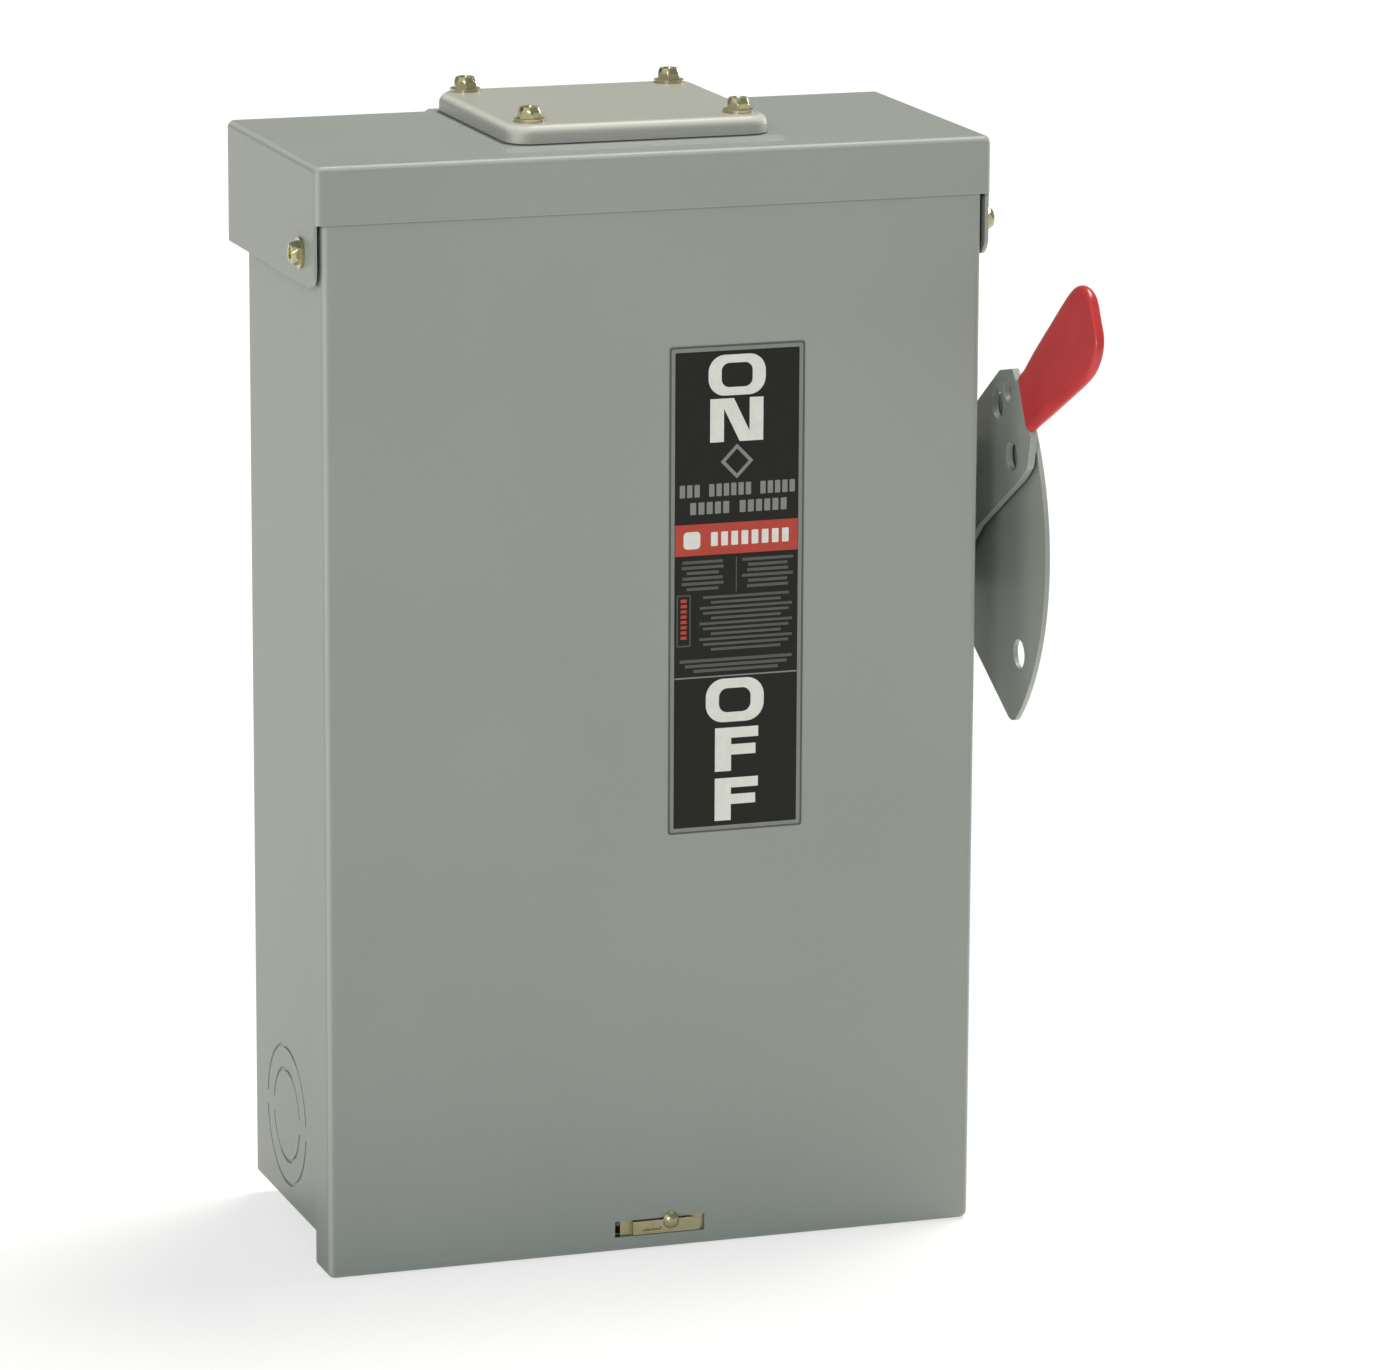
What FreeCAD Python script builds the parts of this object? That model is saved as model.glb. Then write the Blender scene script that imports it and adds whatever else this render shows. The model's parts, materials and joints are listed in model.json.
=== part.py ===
import FreeCAD, Part
import math
import os

import Sketcher
from FreeCAD import Placement, Rotation, Vector

# Outdoor fusible safety switch: a sheet-steel box under a rain hood, with a lift-up
# front cover, a handle on the right side, and two poles with knife-blade fuses inside.
# Origin on the wall plane, at the centre of the four wall holes. X is to the right,
# Y goes into the wall, so the front faces -Y, and Z is up. Millimetres throughout.

doc = FreeCAD.newDocument("safety_switch")
sheet = doc.addObject("Spreadsheet::Sheet", "Dims")

# ---------------------------------------------------------------- driving dimensions

SIZES = [
    ("sheet_gauge", 1.5, "steel sheet of the box, hood and cover"),
    ("bend_radius", 3.0, "outer radius of the sheet bends"),
    ("hood_width", 286.0, "rain hood across its side panels"),
    ("hood_depth", 132.0, "wall plane to the hood front"),
    ("hood_top", 225.0, "hood top above the wall pattern centre"),
    ("hood_side_drop", 50.0, "height of the hood side panels"),
    ("hood_skirt_drop", 23.7, "height of the hood front skirt"),
    ("box_width", 270.0, "box across its side walls"),
    ("box_bottom", -225.0, "underside of the box"),
    ("box_front", -126.0, "front edge of the side walls"),
    ("notch_front", -92.0, "front edge of the side walls beside the cover pivots"),
    ("notch_bottom", 190.0, "lower end of that notch"),
    ("wall_hole_dx", 200.0, "wall holes apart, across"),
    ("wall_hole_dz", 380.0, "wall holes apart, up and down"),
    ("wall_hole_radius", 4.0, "wall hole"),
    ("cover_width", 279.5, "front cover across its flanges"),
    ("cover_front", -130.0, "front face of the cover"),
    ("cover_top", 211.0, "top edge of the cover, behind the skirt"),
    ("cover_bottom", -235.0, "bottom of the cover"),
    ("cover_flange", 19.7, "depth of the cover flanges"),
    ("pivot_y", -110.7, "cover pivot"),
    ("pivot_z", 187.6, "cover pivot"),
    ("pivot_radius", 3.0, "shank of the cover pivot screw"),
    ("pivot_ear", 10.0, "radius of the cover ear round the pivot"),
    ("hub_width", 112.0, "hub closing plate, across"),
    ("hub_length", 109.5, "hub closing plate, front to back"),
    ("hub_y", -56.0, "centre of the hub opening and its four screws"),
    ("hub_lip", 56.5, "hub centre to the front edge of the hub plate"),
    ("hub_screw_pitch", 88.9, "hub plate screws apart, both ways"),
    ("hub_plate_height", 7.5, "hub plate above its gasket"),
    ("hub_gasket", 0.6, "hub gasket"),
    ("hub_platform", 1.5, "raised platform under the hub plate"),
    ("hub_opening", 32.0, "radius of the hub opening in the hood"),
    ("screw_radius", 2.8, "shank of the plate and fixing screws"),
    ("screw_washer", 6.3, "radius of the screw head washer"),
    ("label_x", 34.5, "centre of the label"),
    ("label_width", 58.0, "label, across"),
    ("label_top", 144.5, "top of the label"),
    ("label_bottom", -58.3, "bottom of the label"),
    ("label_gauge", 0.3, "label plate"),
    ("latch_slot_left", -16.8, "left end of the latch slot in the cover"),
    ("latch_slot_right", 22.4, "right end of the latch slot"),
    ("latch_slot_top", -222.0, "top of the latch slot"),
    ("latch_slot_low", -228.8, "bottom of the latch slot"),
    ("latch_travel", 7.0, "travel of the latch slide"),
    ("knockout_y", -49.5, "centre of the side knockouts"),
    ("knockout_z", -187.7, "centre of the side knockouts"),
    ("knockout_outer", 29.4, "radius of the outer knockout"),
    ("knockout_inner", 19.6, "radius of the inner knockout"),
    ("knockout_groove", 0.8, "depth and half width of a knockout groove"),
    ("shaft_y", -52.0, "handle shaft"),
    ("shaft_z", 46.5, "handle shaft"),
    ("shaft_radius", 6.0, "handle shaft"),
    ("shaft_inner_end", 96.0, "inner end of the handle shaft"),
    ("shaft_outer_end", 162.8, "outer end of the handle shaft"),
    ("running_fit", 0.06, "radial clearance of a running fit"),
    ("press_fit", 0.02, "radial clearance of parts held together"),
    ("loose_fit", 0.35, "radial clearance at the open link pin"),
    ("handle_on_angle", 42.0, "handle above the horizontal when on"),
    ("lever_x", 159.0, "inner face of the lever"),
    ("lever_gauge", 3.0, "lever thickness"),
    ("lever_length", 101.0, "pivot to the shoulder of the lever"),
    ("lever_half_width", 26.0, "half the lever width at its shoulder"),
    ("lever_hub", 17.0, "radius of the lever hub"),
    ("padlock_radius", 78.0, "pivot to the padlock holes"),
    ("padlock_hole", 6.2, "radius of a padlock hole"),
    ("padlock_offset", 9.3, "degrees from the lever centre line to a padlock hole"),
    ("grip_flare", 12.0, "degrees the grip leans out"),
    ("grip_length", 62.3, "grip, along its lean"),
    ("grip_base_half", 13.1, "half the grip width at its base"),
    ("grip_end_half", 20.4, "half the grip width near its end"),
    ("grip_thickness", 5.4, "grip"),
    ("guard_x", 163.7, "inner face of the guard"),
    ("guard_gauge", 2.0, "guard plate"),
    ("guard_arc", 96.0, "radius of the guard front edge"),
    ("guard_arc_y", -50.0, "centre of the guard front edge"),
    ("guard_web_y", -28.0, "front face of the web behind the handle"),
    ("crank_radius", 30.0, "shaft or blade pivot to the link pins"),
    ("crank_angle", 172.0, "direction of the crank when on"),
    ("link_pin", 3.0, "radius of the link pins"),
    ("blade_pivot_y", -34.0, "switch blade pivot"),
    ("blade_pivot_z", 36.0, "switch blade pivot"),
    ("blade_length", 62.0, "blade pivot to tip"),
    ("blade_gauge", 3.0, "switch blade"),
    ("blade_width", 18.0, "switch blade"),
    ("crossbar_radius", 38.0, "blade pivot to the crossbar centre"),
    ("crossbar_half", 7.0, "half the crossbar section"),
    ("pole_left", -30.0, "left pole"),
    ("pole_right", 40.0, "right pole"),
    ("base_front", -17.0, "front face of the switch base"),
    ("base_left", -68.0, "switch base"),
    ("base_right", 78.0, "switch base"),
    ("base_top", 138.0, "switch base"),
    ("base_bottom", -178.0, "switch base"),
    ("strap_gauge", 3.0, "copper straps"),
    ("leaf_gauge", 1.5, "contact leaves"),
    ("leaf_gap", 0.1, "gap between a leaf and what it grips"),
    ("fuse_z", -60.0, "centre of the fuses"),
    ("fuse_tube_radius", 13.5, "fuse tube"),
    ("fuse_tube_length", 100.0, "fuse tube"),
    ("fuse_length", 149.0, "fuse over its knife blades"),
    ("fuse_blade_gauge", 3.2, "fuse knife blade"),
    ("fuse_blade_width", 19.0, "fuse knife blade"),
    ("lug_width", 22.0, "wire lugs"),
    ("lug_length", 30.0, "wire lugs"),
    ("lug_depth", 24.0, "wire lugs"),
    ("lug_wire_radius", 6.5, "wire hole of a lug"),
]


class Size:
    """A driving dimension, or a sum of them, as a number and as a sheet expression."""

    def __init__(self, value, text=""):
        self.value = float(value)
        self.text = text

    def expression(self):
        return self.text or repr(self.value)

    def combine(self, other, value, sign):
        other = as_size(other)
        if not self.text and not other.text:
            return Size(value(self.value, other.value))
        text = f"({self.expression()} {sign} {other.expression()})"
        return Size(value(self.value, other.value), text)

    def __add__(self, other):
        return self.combine(other, lambda a, b: a + b, "+")

    def __sub__(self, other):
        return self.combine(other, lambda a, b: a - b, "-")

    def __mul__(self, other):
        return self.combine(other, lambda a, b: a * b, "*")

    def __truediv__(self, other):
        return self.combine(other, lambda a, b: a / b, "/")

    def __radd__(self, other):
        return as_size(other) + self

    def __rsub__(self, other):
        return as_size(other) - self

    def __rmul__(self, other):
        return as_size(other) * self

    def __neg__(self):
        return as_size(-1) * self


def as_size(value):
    return value if isinstance(value, Size) else Size(value)


class Dimensions:
    """The sheet's sizes by name."""


dim = Dimensions()
for row, (alias, number, note) in enumerate(SIZES, start=1):
    sheet.set(f"A{row}", alias)
    sheet.set(f"B{row}", str(number))
    sheet.set(f"C{row}", note)
    sheet.setAlias(f"B{row}", alias)
    setattr(dim, alias, Size(number, f"Dims.{alias}"))
doc.recompute()

# ---------------------------------------------------------------- building helpers

NODES = []
TO_X = Rotation(Vector(0, 1, 0), 90)
TO_LEFT = Rotation(Vector(0, 1, 0), -90)
TO_FRONT = Rotation(Vector(1, 0, 0), 90)
TO_BACK = Rotation(Vector(1, 0, 0), -90)
UPRIGHT = Rotation()


def bind(thing, name, value):
    """Set a property, and tie it to the sheet when the value comes from there."""
    value = as_size(value)
    if value.text:
        thing.setExpression(name, value.text)
    elif name.startswith("Placement."):
        place = thing.Placement
        setattr(place.Base, name[-1], value.value)
        thing.Placement = place
    else:
        setattr(thing, name, value.value)


def put(thing, x, y, z, rotation=UPRIGHT):
    """Place a thing at a point, which may come from the sheet."""
    numbers = [as_size(value).value for value in (x, y, z)]
    thing.Placement = Placement(Vector(*numbers), rotation)
    for axis, value in zip("xyz", (x, y, z)):
        if as_size(value).text:
            thing.setExpression(f"Placement.Base.{axis}", as_size(value).text)
    return thing


def node(thing, label):
    """Register a finished sub-part under its node name."""
    thing.Label = label
    NODES.append(thing)
    return thing


def block(name, x, y, z):
    """A box between three pairs of planes."""
    box = doc.addObject("Part::Box", name)
    for side, (low, high) in zip(("Length", "Width", "Height"), (x, y, z)):
        bind(box, side, as_size(high) - low)
    return put(box, x[0], y[0], z[0])


def rod(name, axis, span, centre, radius):
    """A cylinder along x, y or z over a span, with its centre in the other two."""
    start, end = span
    cylinder = doc.addObject("Part::Cylinder", name)
    bind(cylinder, "Radius", radius)
    bind(cylinder, "Height", as_size(end) - start)
    if axis == "x":
        return put(cylinder, start, centre[0], centre[1], TO_X)
    if axis == "y":
        return put(cylinder, centre[0], start, centre[1], TO_BACK)
    return put(cylinder, centre[0], centre[1], start)


def hexagon(name, height, circle_radius):
    """A six-sided prism standing on the XY plane."""
    prism = doc.addObject("Part::Prism", name)
    prism.Polygon = 6
    bind(prism, "Circumradius", circle_radius)
    bind(prism, "Height", height)
    return prism


def fuse(name, *pieces):
    union = doc.addObject("Part::MultiFuse", name)
    union.Shapes = list(pieces)
    union.Refine = True
    return union


def cut(name, base, *tools):
    difference = doc.addObject("Part::Cut", name)
    difference.Base = base
    difference.Tool = tools[0] if len(tools) == 1 else fuse(f"{name}_tools", *tools)
    difference.Refine = True
    return difference


def group(name, *pieces):
    """Separate solids of one kind under one node."""
    compound = doc.addObject("Part::Compound", name)
    compound.Links = list(pieces)
    return compound


def pick_edges(shape, chosen):
    """The numbers of the straight edges for which chosen(middle, direction) is true."""
    picked = []
    for number, edge in enumerate(shape.Edges, start=1):
        if edge.Degenerated or not isinstance(edge.Curve, Part.Line):
            continue
        if chosen(edge.CenterOfMass, edge.tangentAt(edge.FirstParameter)):
            picked.append(number)
    return picked


def round_edges(name, base, radius, chosen):
    """Fillet chosen straight edges of a thing."""
    doc.recompute()
    rounded = doc.addObject("Part::Fillet", name)
    rounded.Base = base
    rounded.Edges = [(number, radius, radius) for number in pick_edges(base.Shape, chosen)]
    return rounded


def copies(label, master, places):
    """One node of equal solids: the master's shape set at each place."""
    doc.recompute()
    shapes = []
    for place in places:
        shape = master.Shape.copy()
        shape.Placement = place
        shapes.append(shape)
    feature = doc.addObject("Part::Feature", label)
    feature.Shape = Part.makeCompound(shapes) if len(shapes) > 1 else shapes[0]
    return node(feature, label)


def new_body(label):
    body = doc.addObject("PartDesign::Body", label)
    body.Label = label
    return body


def new_sketch(body, role, name, offset=0):
    """A sketch on one of the body's origin planes, moved along its normal."""
    drawing = body.newObject("Sketcher::SketchObject", name)
    support = next(item for item in body.Origin.OriginFeatures if item.Role == role)
    drawing.AttachmentSupport = [(support, "")]
    drawing.MapMode = "FlatFace"
    offset = as_size(offset)
    drawing.AttachmentOffset = Placement(Vector(0, 0, offset.value), Rotation())
    if offset.text:
        drawing.setExpression("AttachmentOffset.Base.z", offset.text)
    return drawing


def hold_point(drawing, geometry, end, point):
    """Fix a sketch point by its two distances from the origin."""
    kinds = (("DistanceX", -2), ("DistanceY", -1))
    for (kind, axis), value in zip(kinds, point):
        value = as_size(value)
        if abs(value.value) < 1e-9:
            drawing.addConstraint(Sketcher.Constraint("PointOnObject", geometry, end, axis))
            continue
        number = drawing.addConstraint(
            Sketcher.Constraint(kind, -1, 1, geometry, end, value.value))
        if value.text:
            drawing.setExpression(f"Constraints[{number}]", value.text)


def add_outline(drawing, points):
    """A closed outline of straight sides through the given points."""
    corners = [Vector(as_size(u).value, as_size(v).value, 0) for u, v in points]
    first = drawing.GeometryCount
    count = len(points)
    for index, corner in enumerate(corners):
        drawing.addGeometry(Part.LineSegment(corner, corners[(index + 1) % count]), False)
    for index in range(count):
        after = first + (index + 1) % count
        drawing.addConstraint(Sketcher.Constraint("Coincident", first + index, 2, after, 1))
    for index, point in enumerate(points):
        hold_point(drawing, first + index, 1, point)


def add_circle(drawing, centre, radius):
    radius = as_size(radius)
    middle = Vector(as_size(centre[0]).value, as_size(centre[1]).value, 0)
    circle = drawing.addGeometry(Part.Circle(middle, Vector(0, 0, 1), radius.value), False)
    number = drawing.addConstraint(Sketcher.Constraint("Radius", circle, radius.value))
    if radius.text:
        drawing.setExpression(f"Constraints[{number}]", radius.text)
    hold_point(drawing, circle, 3, centre)


def pad(body, drawing, length, middle=False):
    feature = body.newObject("PartDesign::Pad", f"{drawing.Name}_pad")
    feature.Profile = drawing
    bind(feature, "Length", length)
    feature.Midplane = middle
    doc.recompute()
    return feature


def pocket(body, drawing, length, reverse=False, middle=False):
    """Cut a sketch into the body, and make sure that it takes material away."""
    before = body.Shape.Volume
    feature = body.newObject("PartDesign::Pocket", f"{drawing.Name}_pocket")
    feature.Profile = drawing
    bind(feature, "Length", length)
    feature.Reversed = reverse
    feature.Midplane = middle
    doc.recompute()
    if body.Shape.Volume > before - 0.01:
        raise ValueError(f"{feature.Name} cuts nothing")
    return feature


def soften(body, radius, chosen):
    """Fillet chosen straight edges of the body, and the edges that run on from them."""
    base = body.Tip
    feature = body.newObject("PartDesign::Fillet", f"{body.Name}_fillet")
    feature.Base = (base, [f"Edge{number}" for number in pick_edges(base.Shape, chosen)])
    feature.Radius = radius
    doc.recompute()
    return feature


def swing_rotation(degrees):
    """Turn local X to a direction in the YZ plane and local Z to +X."""
    angle = math.radians(degrees)
    return Rotation(Vector(0, math.cos(angle), math.sin(angle)),
                    Vector(0, -math.sin(angle), math.cos(angle)),
                    Vector(1, 0, 0), "ZXY")


def swing_point(centre_y, centre_z, radius, degrees):
    """The point at a radius and an angle in the YZ plane, as numbers."""
    angle = math.radians(degrees)
    return (as_size(centre_y).value + radius * math.cos(angle),
            as_size(centre_z).value + radius * math.sin(angle))


def along(direction, axis):
    """True where a direction is along an axis."""
    return abs(direction.dot(axis)) > 0.999


AXIS_X = Vector(1, 0, 0)
AXIS_Y = Vector(0, 1, 0)
AXIS_Z = Vector(0, 0, 1)
HALF_HOOD = dim.hood_width / 2
HALF_BOX = dim.box_width / 2
HALF_COVER = dim.cover_width / 2
GAUGE = dim.sheet_gauge
BOX_TOP = dim.hood_top - GAUGE
INNER_BACK = -GAUGE
POLES = (dim.pole_left, dim.pole_right)

# ---------------------------------------------------------------- fasteners


def washer_screw(name, shank_radius, shank_length, washer_radius, head_height=4.6):
    """A slotted hex screw with a washer face, head towards +Z, seated at Z = 0."""
    washer = rod(f"{name}_washer", "z", (0, 1.3), (0, 0), washer_radius)
    shank = rod(f"{name}_shank", "z", (-as_size(shank_length), 0.5), (0, 0), shank_radius)
    head = hexagon(f"{name}_hex", head_height, washer_radius * 0.8)
    dome = doc.addObject("Part::Cone", f"{name}_dome")
    bind(dome, "Radius1", washer_radius * 0.98)
    bind(dome, "Radius2", washer_radius * 0.60)
    dome.Height = head_height
    cap = doc.addObject("Part::Common", f"{name}_cap")
    cap.Base = head
    cap.Tool = dome
    dish = rod(f"{name}_dish", "z", (head_height - 0.8, 8), (0, 0), washer_radius * 0.38)
    slot = block(f"{name}_slot", (-8, 8), (-0.7, 0.7), (head_height - 1.7, 8))
    return cut(name, fuse(f"{name}_solid", washer, shank, cap), dish, slot)


def slotted_plug(name, radius, length):
    """A slotted set screw along Z, its slotted end at Z = 0."""
    stem = rod(f"{name}_stem", "z", (-as_size(length), 0), (0, 0), radius)
    slot = block(f"{name}_slot", (-9, 9), (-0.7, 0.7), (-1.5, 1))
    return cut(name, stem, slot)


# ---------------------------------------------------------------- box and hood


def wall_hole_centres():
    half_x = dim.wall_hole_dx / 2
    half_z = dim.wall_hole_dz / 2
    return [(side * half_x, level * half_z) for side in (-1, 1) for level in (-1, 1)]


def knockout_cutter(name, axis, face, inward, centre):
    """Two concentric grooves in a sheet face, each left whole at two ties."""
    rings = []
    low, high = sorted((face, face + inward * dim.knockout_groove.value))
    for label, radius in (("outer", dim.knockout_outer), ("inner", dim.knockout_inner)):
        wide = rod(f"{name}_{label}_wide", axis, (low, high), centre, radius + dim.knockout_groove)
        core = rod(f"{name}_{label}_core", axis, (low, high), centre, radius - dim.knockout_groove)
        rings.append(cut(f"{name}_{label}", wide, core))
    reach = dim.knockout_outer + 2
    across = (centre[1] - 3, centre[1] + 3)
    if axis == "x":
        tie = block(f"{name}_tie", (low, high), (centre[0] - reach, centre[0] + reach), across)
    else:
        tie = block(f"{name}_tie", (centre[0] - reach, centre[0] + reach), across, (low, high))
    return cut(name, fuse(f"{name}_rings", *rings), tie)


GUARD_SCREW_Y = dim.guard_web_y + 12
GUARD_SCREW_Z = [dim.shaft_z + step for step in (-34, 0, 34)]
BRACKET_SCREWS = [(121, dim.shaft_z + step) for step in (-26, 26)]
BASE_SCREWS = [(x, z) for x in (dim.base_left + 9.5, dim.base_right - 9.5)
               for z in (dim.base_bottom + 10, dim.base_top - 10)]
BUSHING_RADIUS = 9
NEUTRAL_SCREWS = [(-99, z) for z in (-47, 37)]


def make_box_shell():
    back = block("shell_back", (-HALF_BOX, HALF_BOX), (-GAUGE, 0), (dim.box_bottom, BOX_TOP))
    pieces = [back]
    for side, name in ((-1, "left"), (1, "right")):
        wall_x = sorted((side * HALF_BOX.value, side * (HALF_BOX - GAUGE).value))
        lip_x = sorted((side * HALF_BOX.value, side * (HALF_BOX - 14).value))
        pieces.append(block(f"shell_{name}", wall_x, (dim.box_front, 0), (dim.box_bottom, BOX_TOP)))
        pieces.append(block(f"shell_{name}_lip", lip_x, (dim.notch_front, 0),
                            (BOX_TOP - GAUGE, BOX_TOP)))
    notch = block("shell_notch", (-200, 200), (dim.box_front - 5, dim.notch_front),
                  (dim.notch_bottom, BOX_TOP + 5))
    folded = cut("shell_folded", fuse("shell_blank", *pieces), notch)
    bent = round_edges("shell_bent", folded, 2.4,
                       lambda middle, way: along(way, AXIS_Z) and abs(middle.y) < 0.01
                       and abs(middle.x) > 130)
    fit = dim.press_fit
    holes = [rod(f"wall_hole_{number}", "y", (-5, 5), centre, dim.wall_hole_radius)
             for number, centre in enumerate(wall_hole_centres(), start=1)]
    holes += [rod(f"guard_hole_{number}", "x", (128, 140), (GUARD_SCREW_Y, z), dim.screw_radius + fit)
              for number, z in enumerate(GUARD_SCREW_Z, start=1)]
    holes += [rod(f"back_hole_{number}", "y", (-5, 5), centre, dim.screw_radius + fit)
              for number, centre in enumerate(BRACKET_SCREWS + BASE_SCREWS + NEUTRAL_SCREWS, start=1)]
    holes.append(rod("bushing_hole", "x", (120, 140), (dim.shaft_y, dim.shaft_z),
                     BUSHING_RADIUS + fit))
    centre = (dim.knockout_y, dim.knockout_z)
    holes.append(knockout_cutter("left_knockout", "x", -HALF_BOX.value, 1, centre))
    holes.append(knockout_cutter("right_knockout", "x", HALF_BOX.value, -1, centre))
    node(cut("shell_drilled", bent, *holes), "box_shell")


def make_bottom_endwall():
    inside = HALF_BOX - GAUGE
    low = dim.box_bottom
    flange_top = low + 12
    pieces = [block("floor", (-inside, inside), (dim.box_front, INNER_BACK), (low, low + GAUGE)),
              block("floor_front", (-inside, inside), (dim.box_front, dim.box_front + GAUGE),
                    (low, flange_top)),
              block("floor_back", (-inside, inside), (INNER_BACK - GAUGE, INNER_BACK),
                    (low, flange_top))]
    for side, name in ((-1, "left"), (1, "right")):
        flange_x = sorted((side * inside.value, side * (inside - GAUGE).value))
        pieces.append(block(f"floor_{name}", flange_x, (dim.box_front, INNER_BACK), (low, flange_top)))
    knockouts = [knockout_cutter(f"floor_knockout_{name}", "z", low.value, 1, (x, dim.knockout_y))
                 for name, x in (("left", -70), ("right", 70))]
    node(cut("floor_cut", fuse("floor_pan", *pieces), *knockouts), "bottom_endwall")


def hub_screw_centres():
    half = dim.hub_screw_pitch / 2
    return [(x * half, dim.hub_y + y * half) for x in (-1, 1) for y in (-1, 1)]


def make_rain_hood():
    side_low = dim.hood_top - dim.hood_side_drop
    front = -dim.hood_depth
    radius = dim.bend_radius.value
    outer_box = block("hood_outer", (-HALF_HOOD, HALF_HOOD), (front, 0), (side_low, dim.hood_top))

    def bend(middle, way):
        """The top, side and front corners of the hood, but not its open back and underside."""
        on_top = middle.z > 222
        on_front = middle.y < -130
        on_side = abs(middle.x) > 140
        return ((along(way, AXIS_X) and on_top and on_front)
                or (along(way, AXIS_Y) and on_top and on_side)
                or (along(way, AXIS_Z) and on_front and on_side))

    outer = round_edges("hood_outer_bent", outer_box, radius, bend)
    room = block("hood_inner", (GAUGE - HALF_HOOD, HALF_HOOD - GAUGE), (front + GAUGE, 5),
                 (side_low - 5, dim.hood_top - GAUGE))
    inner = round_edges("hood_inner_bent", room, radius - GAUGE.value, bend)
    skirt_low = dim.hood_top - dim.hood_skirt_drop
    opening = block("hood_front_opening", (-200, 200), (front - 5, front + radius),
                    (side_low - 5, skirt_low))
    shell = cut("hood_shell", outer, inner, opening)
    shell = round_edges("hood_cornered", shell, 8,
                        lambda middle, way: along(way, AXIS_X) and abs(middle.z - side_low.value) < 0.1
                        and middle.y < -120)
    base = doc.addObject("Part::Wedge", "hub_platform")
    spread = 4
    top = dim.hood_top + dim.hub_platform
    wide = dim.hub_width / 2 + spread
    rear_spread = 2
    long = dim.hub_length / 2 + (spread + rear_spread) / 2
    middle_y = dim.hub_y - dim.hub_lip - spread + long
    bevel = 2
    for name, value in (("Xmin", -wide), ("Xmax", wide), ("X2min", bevel - wide), ("X2max", wide - bevel),
                        ("Zmin", -long), ("Zmax", long), ("Z2min", bevel - long), ("Z2max", long - bevel),
                        ("Ymin", -GAUGE / 2), ("Ymax", dim.hub_platform)):
        bind(base, name, value)
    put(base, 0, middle_y, dim.hood_top, TO_FRONT)
    fit = dim.press_fit
    holes = [rod(f"hood_hub_hole_{number}", "z", (200, 240), centre, dim.screw_radius + fit)
             for number, centre in enumerate(hub_screw_centres(), start=1)]
    holes.append(rod("hood_hub_opening", "z", (200, top + 2), (0, dim.hub_y), dim.hub_opening))
    holes.append(rod("hood_pivot_hole", "x", (-150, 150), (dim.pivot_y, dim.pivot_z),
                     dim.pivot_radius + fit))
    node(cut("hood_drilled", fuse("hood_with_platform", shell, base), *holes), "rain_hood")


def make_hub_plate():
    base_z = dim.hood_top + dim.hub_platform + dim.hub_gasket
    top_z = (base_z + dim.hub_plate_height).value
    body = new_body("hub_plate")
    drawing = new_sketch(body, "XY_Plane", "hub_outline", base_z)
    wide = dim.hub_width / 2
    low = dim.hub_y - dim.hub_lip
    high = low + dim.hub_length
    add_outline(drawing, [(-wide, low), (wide, low), (wide, high), (-wide, high)])
    pad(body, drawing, dim.hub_plate_height)
    corner = 11
    soften(body, corner, lambda middle, way: along(way, AXIS_Z))
    soften(body, 4.5, lambda middle, way: abs(middle.z - top_z) < 0.01)
    recess = new_sketch(body, "XY_Plane", "hub_recess", base_z)
    add_circle(recess, (0, dim.hub_y), dim.hub_opening + 3)
    pocket(body, recess, 3.5, reverse=True)
    holes = new_sketch(body, "XY_Plane", "hub_holes", base_z)
    for centre in hub_screw_centres():
        add_circle(holes, centre, dim.screw_radius + dim.press_fit)
    pocket(body, holes, 20, reverse=True)
    node(body, "hub_plate")

    pad_z = dim.hood_top + dim.hub_platform
    ring = new_body("hub_gasket")
    outline = new_sketch(ring, "XY_Plane", "gasket_outline", pad_z)
    inset = 0.5
    add_outline(outline, [(inset - wide, low + inset), (wide - inset, low + inset),
                          (wide - inset, high - inset), (inset - wide, high - inset)])
    pad(ring, outline, dim.hub_gasket)
    soften(ring, corner - inset, lambda middle, way: along(way, AXIS_Z))
    openings = new_sketch(ring, "XY_Plane", "gasket_holes", pad_z)
    add_circle(openings, (0, dim.hub_y), dim.hub_opening)
    for centre in hub_screw_centres():
        add_circle(openings, centre, dim.screw_radius + dim.press_fit)
    pocket(ring, openings, 2, reverse=True)
    node(ring, "hub_gasket")

    master = washer_screw("hub_screw", dim.screw_radius, 15, dim.screw_washer, head_height=6.0)
    places = [Placement(Vector(x.value, y.value, top_z), Rotation(AXIS_Z, turn))
              for (x, y), turn in zip(hub_screw_centres(), (25, -40, 70, 10))]
    copies("hub_plate_screws", master, places)


# ---------------------------------------------------------------- front cover and latch


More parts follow.
